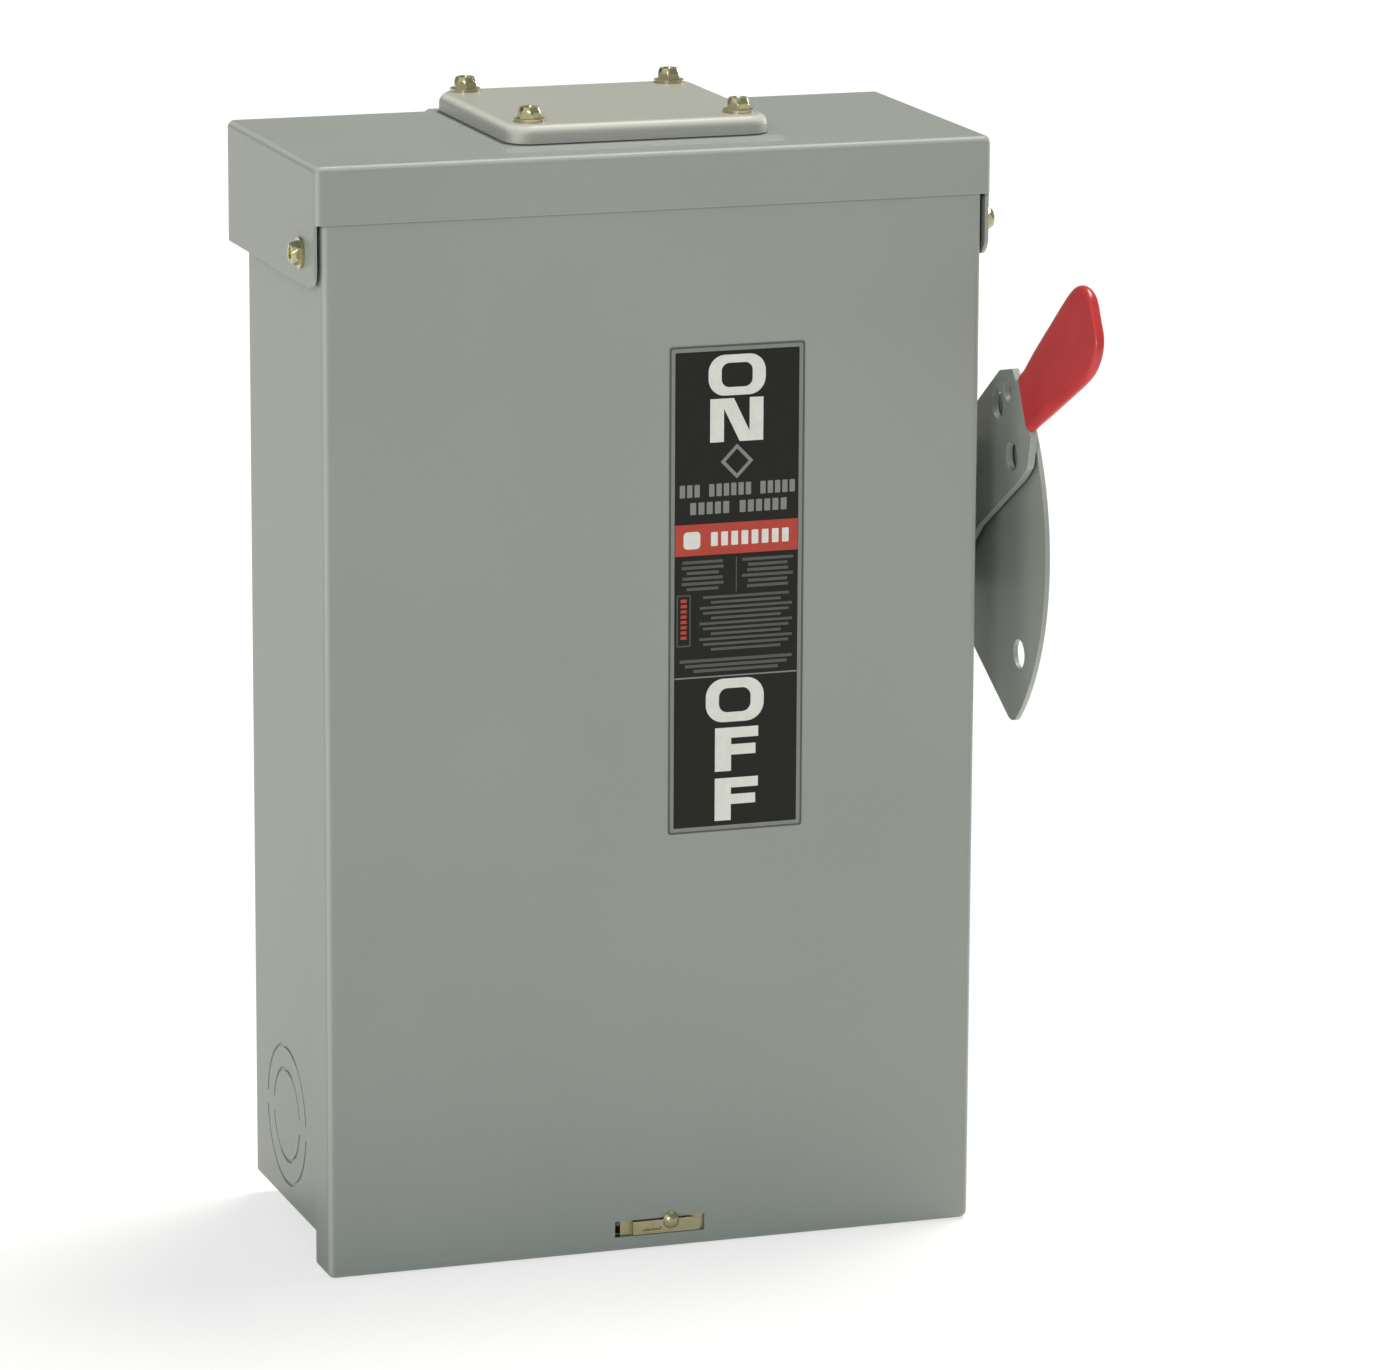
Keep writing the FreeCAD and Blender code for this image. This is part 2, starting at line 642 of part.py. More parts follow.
def make_front_cover():
    front = dim.cover_front
    back = front + dim.cover_flange
    outer_box = block("cover_outer", (-HALF_COVER, HALF_COVER), (front, back),
                      (dim.cover_bottom, dim.cover_top))

    def bend(middle, way):
        """The folds at the sides and bottom of the cover, and its two bottom corners."""
        on_front = middle.y < -126
        at_bottom = middle.z < -230
        at_side = abs(middle.x) > 136
        return ((along(way, AXIS_Z) and on_front and at_side)
                or (along(way, AXIS_X) and on_front and at_bottom)
                or (along(way, AXIS_Y) and at_bottom and at_side))

    radius = dim.bend_radius.value
    outer = round_edges("cover_outer_bent", outer_box, radius, bend)
    room = block("cover_inner", (GAUGE - HALF_COVER, HALF_COVER - GAUGE), (front + GAUGE, back + 5),
                 (dim.cover_bottom + GAUGE, dim.cover_top + 5))
    inner = round_edges("cover_inner_bent", room, radius - GAUGE.value, bend)
    pan = cut("cover_pan", outer, inner)
    pivot = (dim.pivot_y, dim.pivot_z)
    ears = [rod("left_ear", "x", (-HALF_COVER, GAUGE - HALF_COVER), pivot, dim.pivot_ear),
            rod("right_ear", "x", (HALF_COVER - GAUGE, HALF_COVER), pivot, dim.pivot_ear)]
    tools = [rod("cover_pivot_hole", "x", (-150, 150), pivot, dim.pivot_radius + dim.running_fit),
             block("latch_slot", (dim.latch_slot_left, dim.latch_slot_right), (front - 5, front + 5),
                   (dim.latch_slot_low, dim.latch_slot_top))]
    node(cut("cover_cut", fuse("cover_with_ears", pan, *ears), *tools), "front_cover")

    half_label = dim.label_width / 2
    node(block("label", (dim.label_x - half_label, dim.label_x + half_label),
               (front - dim.label_gauge, front), (dim.label_bottom, dim.label_top)), "label_plate")

    hood_face = HALF_HOOD.value
    y, z = dim.pivot_y.value, dim.pivot_z.value
    grip_depth = 7.6
    stand_off = 3.6
    left_screw = washer_screw("left_pivot_screw", dim.pivot_radius, grip_depth, dim.screw_washer)
    right_screw = fuse("right_pivot_screw",
                       washer_screw("spaced_screw", dim.pivot_radius, grip_depth + stand_off,
                                    dim.screw_washer),
                       rod("pivot_spacer", "z", (-stand_off, 0), (0, 0), 5))
    put(left_screw, -hood_face, y, z, TO_LEFT)
    put(right_screw, hood_face + stand_off, y, z, TO_X)
    node(group("pivot_screw_pair", left_screw, right_screw), "cover_pivot_screws")
    nut = cut("pivot_nut", hexagon("pivot_nut_hex", 2.8, 5.6),
              rod("pivot_nut_bore", "z", (-1, 5), (0, 0), dim.pivot_radius + dim.press_fit))
    nut_face = HALF_BOX.value + 0.3
    copies("cover_pivot_nuts", nut, [Placement(Vector(nut_face, y, z), TO_X),
                                     Placement(Vector(-nut_face, y, z), TO_LEFT)])


def make_latch():
    face = dim.cover_front
    inner = face + GAUGE
    thumb_face = face - 0.6
    plate_y = (inner + 0.3, inner + GAUGE)
    stud_x, stud_z = 7.5, -224.6
    stud_radius = 1.5
    leg_x = (-8, -6.5)
    leg_z = (-231, -227.5)
    hook_y = (face + 12, face + 13.5)
    thumb_x = (-9, 20)
    thumb_z = (-228.2, -222.6)
    thumb = round_edges("latch_thumb_eased",
                        block("latch_thumb", thumb_x, (thumb_face, plate_y[1]), thumb_z), 4.2,
                        lambda middle, way: along(way, AXIS_Y) and middle.x > thumb_x[1] - 0.1
                        and middle.z > thumb_z[1] - 0.1)
    slide = fuse("latch_blank", thumb,
                 block("latch_plate", (-14, 26), plate_y, (leg_z[0], -219.5)),
                 block("latch_leg", leg_x, (face + 2, hook_y[1]), leg_z),
                 block("latch_hook", (-15, leg_x[1]), hook_y, leg_z))
    hole = rod("latch_stud_hole", "y", (face - 5, face + 5), (stud_x, stud_z),
               stud_radius + dim.press_fit)
    groove = block("latch_groove", (-4.5, 3.5), (thumb_face - 1, thumb_face + 1), (-226.9, -225.3))
    node(cut("latch_drilled", slide, hole, groove), "latch_slide")

    shank = rod("stud_shank", "y", (thumb_face, plate_y[1]), (stud_x, stud_z), stud_radius)
    head = doc.addObject("Part::Sphere", "stud_dome")
    head.Radius = 4.2
    put(head, stud_x, face + 1.6, stud_z + 1.4)
    front_half = block("stud_keep", (0, 15), (face - 10, thumb_face), (-235, -215))
    dome = doc.addObject("Part::Common", "stud_head")
    dome.Base = head
    dome.Tool = front_half
    node(fuse("stud_solid", shank, dome), "latch_stud")

    strap_y = (inner + 1.6, inner + 2.6)
    guide_z = (-231.6, -226.2)
    guide_end = 36
    node(fuse("guide_solid",
              block("guide_foot", (guide_end - 7, guide_end), (inner, strap_y[1]), guide_z),
              block("guide_strap", (2, guide_end), strap_y, guide_z)), "latch_guide")

    tab_x = (-30, -16)
    tab_y = (-121, -119.5)
    under = dim.box_bottom
    node(fuse("keeper_solid",
              block("keeper_tab", tab_x, tab_y, (under - 8, under)),
              block("keeper_foot", tab_x, (tab_y[0], -98), (under - GAUGE, under))), "latch_keeper")


# ---------------------------------------------------------------- handle and guard

ON_ANGLE = 180 - dim.handle_on_angle.value
THROW = 2 * dim.handle_on_angle.value
LEVER_PIN_X = 150
LEVER_PIN_RADIUS = 2


def lever_pin_rod(name, radius, half_length):
    """A pin across the shaft, along the lever."""
    pin = doc.addObject("Part::Cylinder", name)
    bind(pin, "Radius", radius)
    pin.Height = 2 * half_length
    turn = swing_rotation(ON_ANGLE).multiply(TO_X)
    start_y, start_z = swing_point(dim.shaft_y, dim.shaft_z, -half_length, ON_ANGLE)
    pin.Placement = Placement(Vector(LEVER_PIN_X, start_y, start_z), turn)
    return pin


def make_shaft():
    centre = (dim.shaft_y, dim.shaft_z)
    solid = rod("shaft_rod", "x", (dim.shaft_inner_end, dim.shaft_outer_end), centre, dim.shaft_radius)
    pin_hole = lever_pin_rod("shaft_pin_hole", LEVER_PIN_RADIUS + dim.press_fit, 20)
    node(cut("shaft_cut", solid, pin_hole), "handle_shaft")
    node(lever_pin_rod("pin_rod", LEVER_PIN_RADIUS, 16.5), "lever_pin")

    bore = rod("bushing_bore", "x", (120, 145), centre, dim.shaft_radius + dim.running_fit)
    sleeve = rod("bushing_sleeve", "x", (127, HALF_BOX + 3), centre, BUSHING_RADIUS)
    flange = rod("bushing_flange", "x", (HALF_BOX, HALF_BOX + 2.5), centre, 14)
    node(cut("bushing_cut", fuse("bushing_solid", sleeve, flange), bore), "shaft_bushing")
    nut = hexagon("bushing_nut_hex", 4, 15)
    put(nut, HALF_BOX - GAUGE - 4, dim.shaft_y, dim.shaft_z, TO_X)
    nut_bore = rod("bushing_nut_bore", "x", (120, 145), centre, BUSHING_RADIUS + dim.press_fit)
    node(cut("bushing_nut_cut", nut, nut_bore), "bushing_nut")

    rings = []
    for name, start in (("inner", 110.4), ("outer", 114.4)):
        ring = rod(f"{name}_ring_disc", "x", (start, start + 1.2), centre, 9)
        hole = rod(f"{name}_ring_hole", "x", (start - 1, start + 3), centre,
                   dim.shaft_radius + dim.press_fit)
        rings.append(cut(f"{name}_ring", ring, hole))
    node(group("ring_pair", *rings), "shaft_rings")


def make_lever():
    length = dim.lever_length
    half = dim.lever_half_width
    body = new_body("lever_body")
    plate = new_sketch(body, "XY_Plane", "lever_plate")
    lower_side = [(0, dim.lever_hub - 2), (24, dim.lever_hub - 2), (79, half - 0.5), (90, half),
                  (length, half - 8)]
    upper_side = [(length, 11 - half), (88, 3.5 - half), (60, -half), (40, -half - 2),
                  (0, 2 - dim.lever_hub)]
    add_outline(plate, lower_side + upper_side)
    pad(body, plate, dim.lever_gauge)
    soften(body, 7.0, lambda middle, way: along(way, AXIS_Z) and 85 < middle.x < 95)
    boss = new_sketch(body, "XY_Plane", "lever_boss", -17.5)
    add_circle(boss, (0, 0), dim.lever_hub)
    pad(body, boss, dim.lever_gauge + 17.5)
    lean = math.radians(dim.grip_flare.value)
    tang_run = 49 * math.cos(lean)
    tang_rise = 49 * math.sin(lean)
    tang = new_sketch(body, "XZ_Plane", "lever_tang")
    add_outline(tang, [(length - 2, 0), (length, 0), (length + tang_run, tang_rise),
                       (length + tang_run, dim.lever_gauge + tang_rise), (length, dim.lever_gauge),
                       (length - 2, dim.lever_gauge)])
    pad(body, tang, 18, middle=True)
    holes = new_sketch(body, "XY_Plane", "lever_holes", -25)
    add_circle(holes, (0, 0), dim.shaft_radius + dim.press_fit)
    turn = math.radians(dim.padlock_offset.value)
    for way in (-1, 1):
        add_circle(holes, (dim.padlock_radius * math.cos(turn),
                           dim.padlock_radius * (way * math.sin(turn))), dim.padlock_hole)
    seal_hole = (90, -11)
    add_circle(holes, seal_hole, 4.2)
    pocket(body, holes, 60, reverse=True)
    place = Placement(Vector(dim.lever_x.value, dim.shaft_y.value, dim.shaft_z.value),
                      swing_rotation(ON_ANGLE))
    body.Placement = place
    pin_hole = lever_pin_rod("lever_pin_hole", LEVER_PIN_RADIUS + dim.press_fit, 22)
    node(cut("lever_cut", body, pin_hole), "handle_lever")

    grip = new_body("handle_grip")
    outline = new_sketch(grip, "XY_Plane", "grip_outline")
    base_half = dim.grip_base_half
    end_half = dim.grip_end_half
    reach = dim.grip_length
    base_drop = 3.2
    end_drop = 0.5
    skew = 3.2
    add_outline(outline, [(skew / 2, base_drop - base_half), (reach - 17 + skew, end_drop - end_half),
                          (reach + skew, end_drop - end_half), (reach - skew, end_drop + end_half),
                          (reach - 17 - skew, end_drop + end_half), (0, base_drop + base_half)])
    pad(grip, outline, dim.grip_thickness, middle=True)
    soften(grip, 12.5, lambda middle, way: along(way, AXIS_Z) and middle.x > reach.value - 5)
    soften(grip, 2.2, lambda middle, way: abs(abs(middle.z) - dim.grip_thickness.value / 2) < 0.01)
    socket = new_sketch(grip, "YZ_Plane", "grip_socket")
    gap = dim.press_fit
    half_tang = dim.lever_gauge / 2 + gap
    add_outline(socket, [(-9 - gap, -half_tang), (9 + gap, -half_tang), (9 + gap, half_tang),
                         (-9 - gap, half_tang)])
    pocket(grip, socket, 49.5, reverse=True)
    step = 1.0
    base = Vector(length.value + step * math.cos(lean), 0,
                  dim.lever_gauge.value / 2 + step * math.sin(lean))
    grip.Placement = place.multiply(Placement(base, Rotation(AXIS_Y, -dim.grip_flare.value)))
    node(grip, "handle_grip")


def make_guard():
    face = dim.guard_x
    outer = face + dim.guard_gauge
    web = dim.guard_web_y
    back_half = 30.6
    slope = 0.52
    reach = 120
    body = new_body("guard_plate")
    wedge = new_sketch(body, "YZ_Plane", "guard_wedge", face)
    add_outline(wedge, [(web, dim.shaft_z - back_half), (web, dim.shaft_z + back_half),
                        (web - reach, dim.shaft_z + (back_half + slope * reach)),
                        (web - reach, dim.shaft_z - (back_half + slope * reach))])
    pad(body, wedge, dim.guard_gauge)
    rim = new_sketch(body, "YZ_Plane", "guard_rim", face)
    centre = (dim.guard_arc_y, dim.shaft_z)
    add_circle(rim, centre, dim.guard_arc)
    add_circle(rim, centre, dim.guard_arc + 90)
    pocket(body, rim, 10, reverse=True)
    soften(body, 9.0, lambda middle, way: along(way, AXIS_X) and middle.y < web.value - 60)
    hole = new_sketch(body, "YZ_Plane", "guard_padlock", face)
    angle = ON_ANGLE + THROW - dim.padlock_offset.value
    add_circle(hole, swing_point(dim.shaft_y, dim.shaft_z, dim.padlock_radius.value, angle),
               dim.padlock_hole)
    pocket(body, hole, 10, reverse=True)
    web_block = block("guard_web", (HALF_BOX, outer), (web, web + dim.guard_gauge),
                      (dim.shaft_z - back_half, dim.shaft_z + back_half))
    foot = block("guard_foot", (HALF_BOX, HALF_BOX + dim.guard_gauge), (web, web + 24),
                 (dim.shaft_z - 44, dim.shaft_z + 44))
    joined = fuse("guard_joined", body, web_block, foot)
    bent = round_edges("guard_bent", joined, 1.8,
                       lambda middle, way: along(way, AXIS_Z) and middle.x > outer.value - 0.1
                       and middle.y > web.value + 1)
    drilled = [rod(f"guard_screw_hole_{number}", "x", (130, 145), (GUARD_SCREW_Y, z),
                   dim.screw_radius + dim.press_fit)
               for number, z in enumerate(GUARD_SCREW_Z, start=1)]
    node(cut("guard_drilled", bent, *drilled), "handle_guard")

    screw = washer_screw("guard_screw", dim.screw_radius, 8, 5.6)
    seat = (HALF_BOX + dim.guard_gauge).value
    copies("guard_screws", screw, [Placement(Vector(seat, GUARD_SCREW_Y.value, z.value), TO_X)
                                   for z in GUARD_SCREW_Z])


# ---------------------------------------------------------------- mechanism

# Layers of the mechanism along X, from the switch poles out to the side wall.
ROTOR_X = 88.2
LINK_X = 92.2
CRANK_X = 97
INTERLOCK_X = 104
BRACKET_X = 112
SPRING_X = 117.6
SHAFT_ARM_HUB = 11


def arm(name, x_low, thickness, centre, angle, length, hub_radius, end_radius, hub_hole, end_hole):
    """A flat arm in a YZ plane from a centre towards an angle, with a hole at each end."""
    body = new_body(name)
    shape = new_sketch(body, "XY_Plane", f"{name}_bar")
    add_outline(shape, [(0, -end_radius), (length, -end_radius), (length, end_radius),
                        (0, end_radius)])
    pad(body, shape, thickness)
    for label, place, radius in (("hub", 0, hub_radius), ("end", length, end_radius)):
        disc = new_sketch(body, "XY_Plane", f"{name}_{label}")
        add_circle(disc, (place, 0), radius)
        pad(body, disc, thickness)
    for label, place, radius in (("hub_hole", 0, hub_hole), ("end_hole", length, end_hole)):
        if radius:
            hole = new_sketch(body, "XY_Plane", f"{name}_{label}")
            add_circle(hole, (place, 0), radius)
            pocket(body, hole, thickness * 2, reverse=True)
    body.Placement = Placement(Vector(x_low, as_size(centre[0]).value, as_size(centre[1]).value),
                               swing_rotation(angle))
    return body


def make_mechanism():
    shaft = (dim.shaft_y, dim.shaft_z)
    pivot = (dim.blade_pivot_y, dim.blade_pivot_z)
    throw_radius = dim.crank_radius.value
    start = dim.crank_angle.value
    crank_pin = swing_point(*shaft, throw_radius, start)
    rotor_pin = swing_point(*pivot, throw_radius, start)
    gap = dim.press_fit
    run = dim.running_fit
    pin = dim.link_pin

    link_end = 6.5
    crank_gauge = 3
    link_gauge = 2.6
    rotor_gauge = 2.8

    node(arm("shaft_crank", CRANK_X, crank_gauge, shaft, start, throw_radius, SHAFT_ARM_HUB, link_end,
             dim.shaft_radius + gap, pin + gap), "shaft_crank")
    node(rod("crank_pin_rod", "x", (LINK_X - 0.6, CRANK_X + crank_gauge), crank_pin, pin), "crank_pin")
    node(arm("interlock_arm", INTERLOCK_X, crank_gauge, shaft, 180, 56, SHAFT_ARM_HUB, 5,
             dim.shaft_radius + gap, 0), "interlock_arm")

    link_y = rotor_pin[0] - crank_pin[0]
    link_z = rotor_pin[1] - crank_pin[1]
    node(arm("drive_link", LINK_X, link_gauge, crank_pin, math.degrees(math.atan2(link_z, link_y)),
             math.hypot(link_y, link_z), link_end, link_end, pin + run, pin + dim.loose_fit),
         "drive_link")

    bar = dim.crossbar_radius.value
    rotor_hub = 8
    to_bar = arm("arm_to_bar", ROTOR_X, rotor_gauge, pivot, 90, bar, rotor_hub, 7, 0, 0)
    to_link = arm("arm_to_link", ROTOR_X, rotor_gauge, pivot, start, throw_radius, rotor_hub, link_end,
                  0, pin + gap)
    node(fuse("rotor_arm_solid", to_bar, to_link), "rotor_arm")
    pin_end = LINK_X + link_gauge + 0.6
    node(rod("rotor_pin_rod", "x", (ROTOR_X, pin_end), rotor_pin, pin), "rotor_pin")

    bracket_gauge = 2
    bracket_z = (dim.shaft_z - 36, dim.shaft_z + 36)
    plate = block("bracket_plate", (BRACKET_X, BRACKET_X + bracket_gauge), (-82, INNER_BACK), bracket_z)
    foot = block("bracket_foot", (BRACKET_X, BRACKET_X + 18), (INNER_BACK - bracket_gauge, INNER_BACK),
                 bracket_z)
    holes = [rod("bracket_bearing", "x", (BRACKET_X - 7, BRACKET_X + 8), shaft,
                 dim.shaft_radius + run)]
    holes += [rod(f"bracket_screw_hole_{number}", "y", (-8, 0), centre, dim.screw_radius + gap)
              for number, centre in enumerate(BRACKET_SCREWS, start=1)]
    node(cut("bracket_cut", fuse("bracket_solid", plate, foot), *holes), "mechanism_bracket")
    screw = washer_screw("bracket_screw", dim.screw_radius, 3.2, 5.6)
    copies("bracket_screws", screw,
           [Placement(Vector(x, INNER_BACK.value - bracket_gauge, z.value), TO_FRONT)
            for x, z in BRACKET_SCREWS])

    wire = 0.8
    coil_radius = 9.2
    pitch = 2.1
    height = 4 * pitch
    helix = Part.makeHelix(pitch, height, coil_radius)
    section = Part.Wire([Part.makeCircle(wire, Vector(coil_radius, 0, 0), AXIS_Y)])
    coil = Part.Wire(helix.Edges).makePipeShell([section], True, True)
    low_leg = Part.makeCylinder(wire, 16, Vector(coil_radius, 0, 0), -AXIS_Y)
    high_leg = Part.makeCylinder(wire, 12, Vector(coil_radius, 0, height), AXIS_Y)
    spring = doc.addObject("Part::Feature", "toggle_spring")
    spring.Shape = coil.fuse([low_leg, high_leg])
    spring.Placement = Placement(Vector(SPRING_X, dim.shaft_y.value, dim.shaft_z.value),
                                 TO_X.multiply(Rotation(AXIS_Z, 140)))
    node(spring, "toggle_spring")


# ---------------------------------------------------------------- switch base and poles


def clip(name, pole, grip_gauge, z_span, tip_y):
    """A U-shaped contact clip on a strap: a foot and two leaves astride a blade."""
    half = grip_gauge / 2 + dim.leaf_gap
    foot_y = dim.base_front - dim.strap_gauge
    outside = half + dim.leaf_gauge
    foot = block(f"{name}_foot", (pole - outside, pole + outside), (foot_y - dim.leaf_gauge, foot_y),
                 z_span)
    left = block(f"{name}_left", (pole - outside, pole - half), (tip_y, foot_y), z_span)
    right = block(f"{name}_right", (pole + half, pole + outside), (tip_y, foot_y), z_span)
    return fuse(name, foot, left, right)


def make_base():
    back = INNER_BACK
    solid = block("base_block", (dim.base_left, dim.base_right), (dim.base_front, back),
                  (dim.base_bottom, dim.base_top))
    eased = round_edges("base_eased", solid, 3, lambda middle, way: along(way, AXIS_Y))
    holes = [rod(f"base_screw_hole_{number}", "y", (-30, 0), centre, dim.screw_radius + dim.press_fit)
             for number, centre in enumerate(BASE_SCREWS, start=1)]
    node(cut("base_cut", eased, *holes), "switch_base")
    screw = washer_screw("base_screw", dim.screw_radius, 16.8, 5.6)
    copies("base_screws", screw,
           [Placement(Vector(x.value, dim.base_front.value, z.value), TO_FRONT)
            for x, z in BASE_SCREWS])
    node(block("barrier_block", (4, 6), (-62, dim.base_front), (dim.base_bottom + 8, 10)),
         "phase_barrier")
    shield_z = (92, 137)
    node(fuse("shield_solid",
              block("shield_face", (-66, 76), (-75, -74), shield_z),
              block("shield_left", (-66, -65), (-75, dim.base_front), shield_z),
              block("shield_right", (75, 76), (-75, dim.base_front), shield_z)), "line_shield")


def make_poles():
    front = dim.base_front
    strap_face = front - dim.strap_gauge
    half_gauge = dim.blade_gauge / 2
    half_width = dim.blade_width / 2
    pivot_y, pivot_z = dim.blade_pivot_y, dim.blade_pivot_z
    tip_z = pivot_z + dim.blade_length
    tube_low = dim.fuse_z - dim.fuse_tube_length / 2
    tube_high = dim.fuse_z + dim.fuse_tube_length / 2
    tip_y = -46
    pin_radius = 2.5
    parts = {}

    def add(label, thing):
        parts.setdefault(label, []).append(thing)

    for pole, side in zip(POLES, ("left", "right")):
        across = (pole - 9, pole + 9)
        add("line_straps", block(f"{side}_line_strap", across, (strap_face, front), (82, 136)))
        add("line_jaws", clip(f"{side}_jaw", pole, dim.blade_gauge, (84, 102), tip_y))
        add("hinge_straps", block(f"{side}_hinge_strap", across, (strap_face, front),
                                  (tube_high + 1, 50)))
        hinge = clip(f"{side}_hinge", pole, dim.blade_gauge, (pivot_z - 12, pivot_z + 12), tip_y)
        hinge_bore = rod(f"{side}_hinge_bore", "x", (pole - 9, pole + 9), (pivot_y, pivot_z),
                         pin_radius + dim.press_fit)
        add("hinge_clips", cut(f"{side}_hinge_clip", hinge, hinge_bore))
        add("blade_pins", rod(f"{side}_blade_pin", "x", (pole - 5.5, pole + 5.5), (pivot_y, pivot_z),
                              pin_radius))
        blade = block(f"{side}_blade_bar", (pole - half_gauge, pole + half_gauge),
                      (pivot_y - half_width, pivot_y + half_width), (pivot_z - 8, tip_z))
        blade_bore = rod(f"{side}_blade_bore", "x", (pole - 9, pole + 9), (pivot_y, pivot_z),
                         pin_radius + dim.running_fit)
        add("switch_blades", cut(f"{side}_blade", blade, blade_bore))
        add("upper_fuse_clips", clip(f"{side}_upper_clip", pole, dim.fuse_blade_gauge,
                                     (tube_high + 3, tube_high + 22), tip_y))
        add("lower_fuse_clips", clip(f"{side}_lower_clip", pole, dim.fuse_blade_gauge,
                                     (tube_low - 22, tube_low - 3), tip_y))
        add("load_straps", block(f"{side}_load_strap", across, (strap_face, front),
                                 (-174, tube_low - 1)))
        for end, lug_z in (("line", 120), ("load", -157)):
            lug = block(f"{side}_{end}_lug_block",
                        (pole - dim.lug_width / 2, pole + dim.lug_width / 2),
                        (strap_face - dim.lug_depth, strap_face),
                        (lug_z - dim.lug_length / 2, lug_z + dim.lug_length / 2))
            wire_y = strap_face - dim.lug_depth / 2 + 1
            wire = rod(f"{side}_{end}_wire_hole", "z", (lug_z - 20, lug_z + 20), (pole, wire_y),
                       dim.lug_wire_radius)
            thread = rod(f"{side}_{end}_thread", "y", (-60, wire_y), (pole, lug_z), 5 + dim.press_fit)
            add(f"{end}_lugs", cut(f"{side}_{end}_lug", lug, wire, thread))

        fuse_y = pivot_y
        tube_radius = dim.fuse_tube_radius - 0.4
        tube_span = (tube_low + 1, tube_high - 1)
        add("fuse_tubes", rod(f"{side}_fuse_tube", "z", tube_span, (pole, fuse_y), tube_radius))
        half_blade = dim.fuse_blade_gauge / 2
        half_fuse_width = dim.fuse_blade_width / 2
        for end, cap_z, blade_z in (
                ("top", (tube_high - 16, tube_high),
                 (tube_high - 1, dim.fuse_z + dim.fuse_length / 2)),
                ("low", (tube_low, tube_low + 16),
                 (dim.fuse_z - dim.fuse_length / 2, tube_low + 1))):
            ferrule = rod(f"{side}_{end}_ferrule", "z", cap_z, (pole, fuse_y), dim.fuse_tube_radius)
            knife = block(f"{side}_{end}_knife", (pole - half_blade, pole + half_blade),
                          (fuse_y - half_fuse_width, fuse_y + half_fuse_width), blade_z)
            room = rod(f"{side}_{end}_room", "z", tube_span, (pole, fuse_y),
                       tube_radius + dim.press_fit)
            add("fuse_caps", cut(f"{side}_{end}_cap", fuse(f"{side}_{end}_end", ferrule, knife), room))

    bar_z = pivot_z + dim.crossbar_radius
    half_bar = dim.crossbar_half
    past_pole = 15
    bar = block("crossbar_bar", (dim.pole_left - past_pole, ROTOR_X), (pivot_y - 11, pivot_y + 11),
                (bar_z - half_bar, bar_z + half_bar))
    gap = dim.press_fit
    slots = [block(f"crossbar_slot_{number}", (pole - half_gauge - gap, pole + half_gauge + gap),
                   (pivot_y - half_width - gap, pivot_y + half_width + gap),
                   (bar_z - 20, bar_z + 20))
             for number, pole in enumerate(POLES, start=1)]
    eased = round_edges("crossbar_eased", bar, 2, lambda middle, way: along(way, AXIS_X))
    node(cut("crossbar_cut", eased, *slots), "blade_crossbar")
    for label, pieces in parts.items():
        node(group(f"{label}_group", *pieces), label)

    plug = slotted_plug("lug_screw", 5, 14)
    for label, lug_z in (("line_lug_screws", 120), ("load_lug_screws", -157)):
        copies(label, plug, [Placement(Vector(pole.value, -50, lug_z), TO_FRONT) for pole in POLES])


def make_wire_bars():
    """The neutral bar on its insulator, and the ground bar on the back."""
    gap = dim.press_fit
    back = INNER_BACK
    screw_radius = 4
    block_y = (-17, back)
    insulator = block("neutral_block", (-113, -85), block_y, (-52, 42))
    fixing = [rod(f"neutral_fixing_hole_{number}", "y", (-30, 0), centre, dim.screw_radius + gap)
              for number, centre in enumerate(NEUTRAL_SCREWS, start=1)]
    node(cut("neutral_block_cut", insulator, *fixing), "neutral_insulator")
    fixing_screw = washer_screw("neutral_fixing_screw", dim.screw_radius, 16.8, 4.4)
    copies("neutral_fixing_screws", fixing_screw,
           [Placement(Vector(x, -17, z), TO_FRONT) for x, z in NEUTRAL_SCREWS])
    plug = slotted_plug("bar_screw", screw_radius, 13)
    for label, x_span, y_span, z_span, levels in (
            ("neutral", (-108, -90), (-31, -17), (-40, 30), (-31, -14, 3, 20)),
            ("ground", (92, 108), (-15.5, back), (-168, -112), (-158, -140, -122))):
        middle_x = sum(x_span) / 2
        face = y_span[0]
        bar = block(f"{label}_bar_block", x_span, y_span, z_span)
        holes = []
        for number, level in enumerate(levels, start=1):
            holes.append(rod(f"{label}_thread_{number}", "y", (face - 5, face + 9), (middle_x, level),
                             screw_radius + gap))
            holes.append(rod(f"{label}_wire_{number}", "x", (x_span[0] - 1, x_span[1] + 1),
                             (face + 7.5, level), 3.2))
        node(cut(f"{label}_bar_cut", bar, *holes), f"{label}_bar")
        copies(f"{label}_bar_screws", plug,
               [Placement(Vector(middle_x, face - 6, level), TO_FRONT) for level in levels])


def make_catch():
    inner = dim.cover_front + GAUGE
    span = (dim.shaft_z - 11, dim.shaft_z + 11)
    node(fuse("catch_solid",
              block("catch_foot", (108.5, 122), (inner, inner + 1.5), span),
              block("catch_web", (108.5, 110), (inner, inner + 24), span)), "interlock_catch")


# ---------------------------------------------------------------- build, check and write

for make in (make_box_shell, make_bottom_endwall, make_rain_hood, make_hub_plate, make_front_cover,
             make_latch, make_shaft, make_lever, make_guard, make_mechanism, make_base, make_poles,
             make_wire_bars, make_catch):
    make()
doc.recompute()

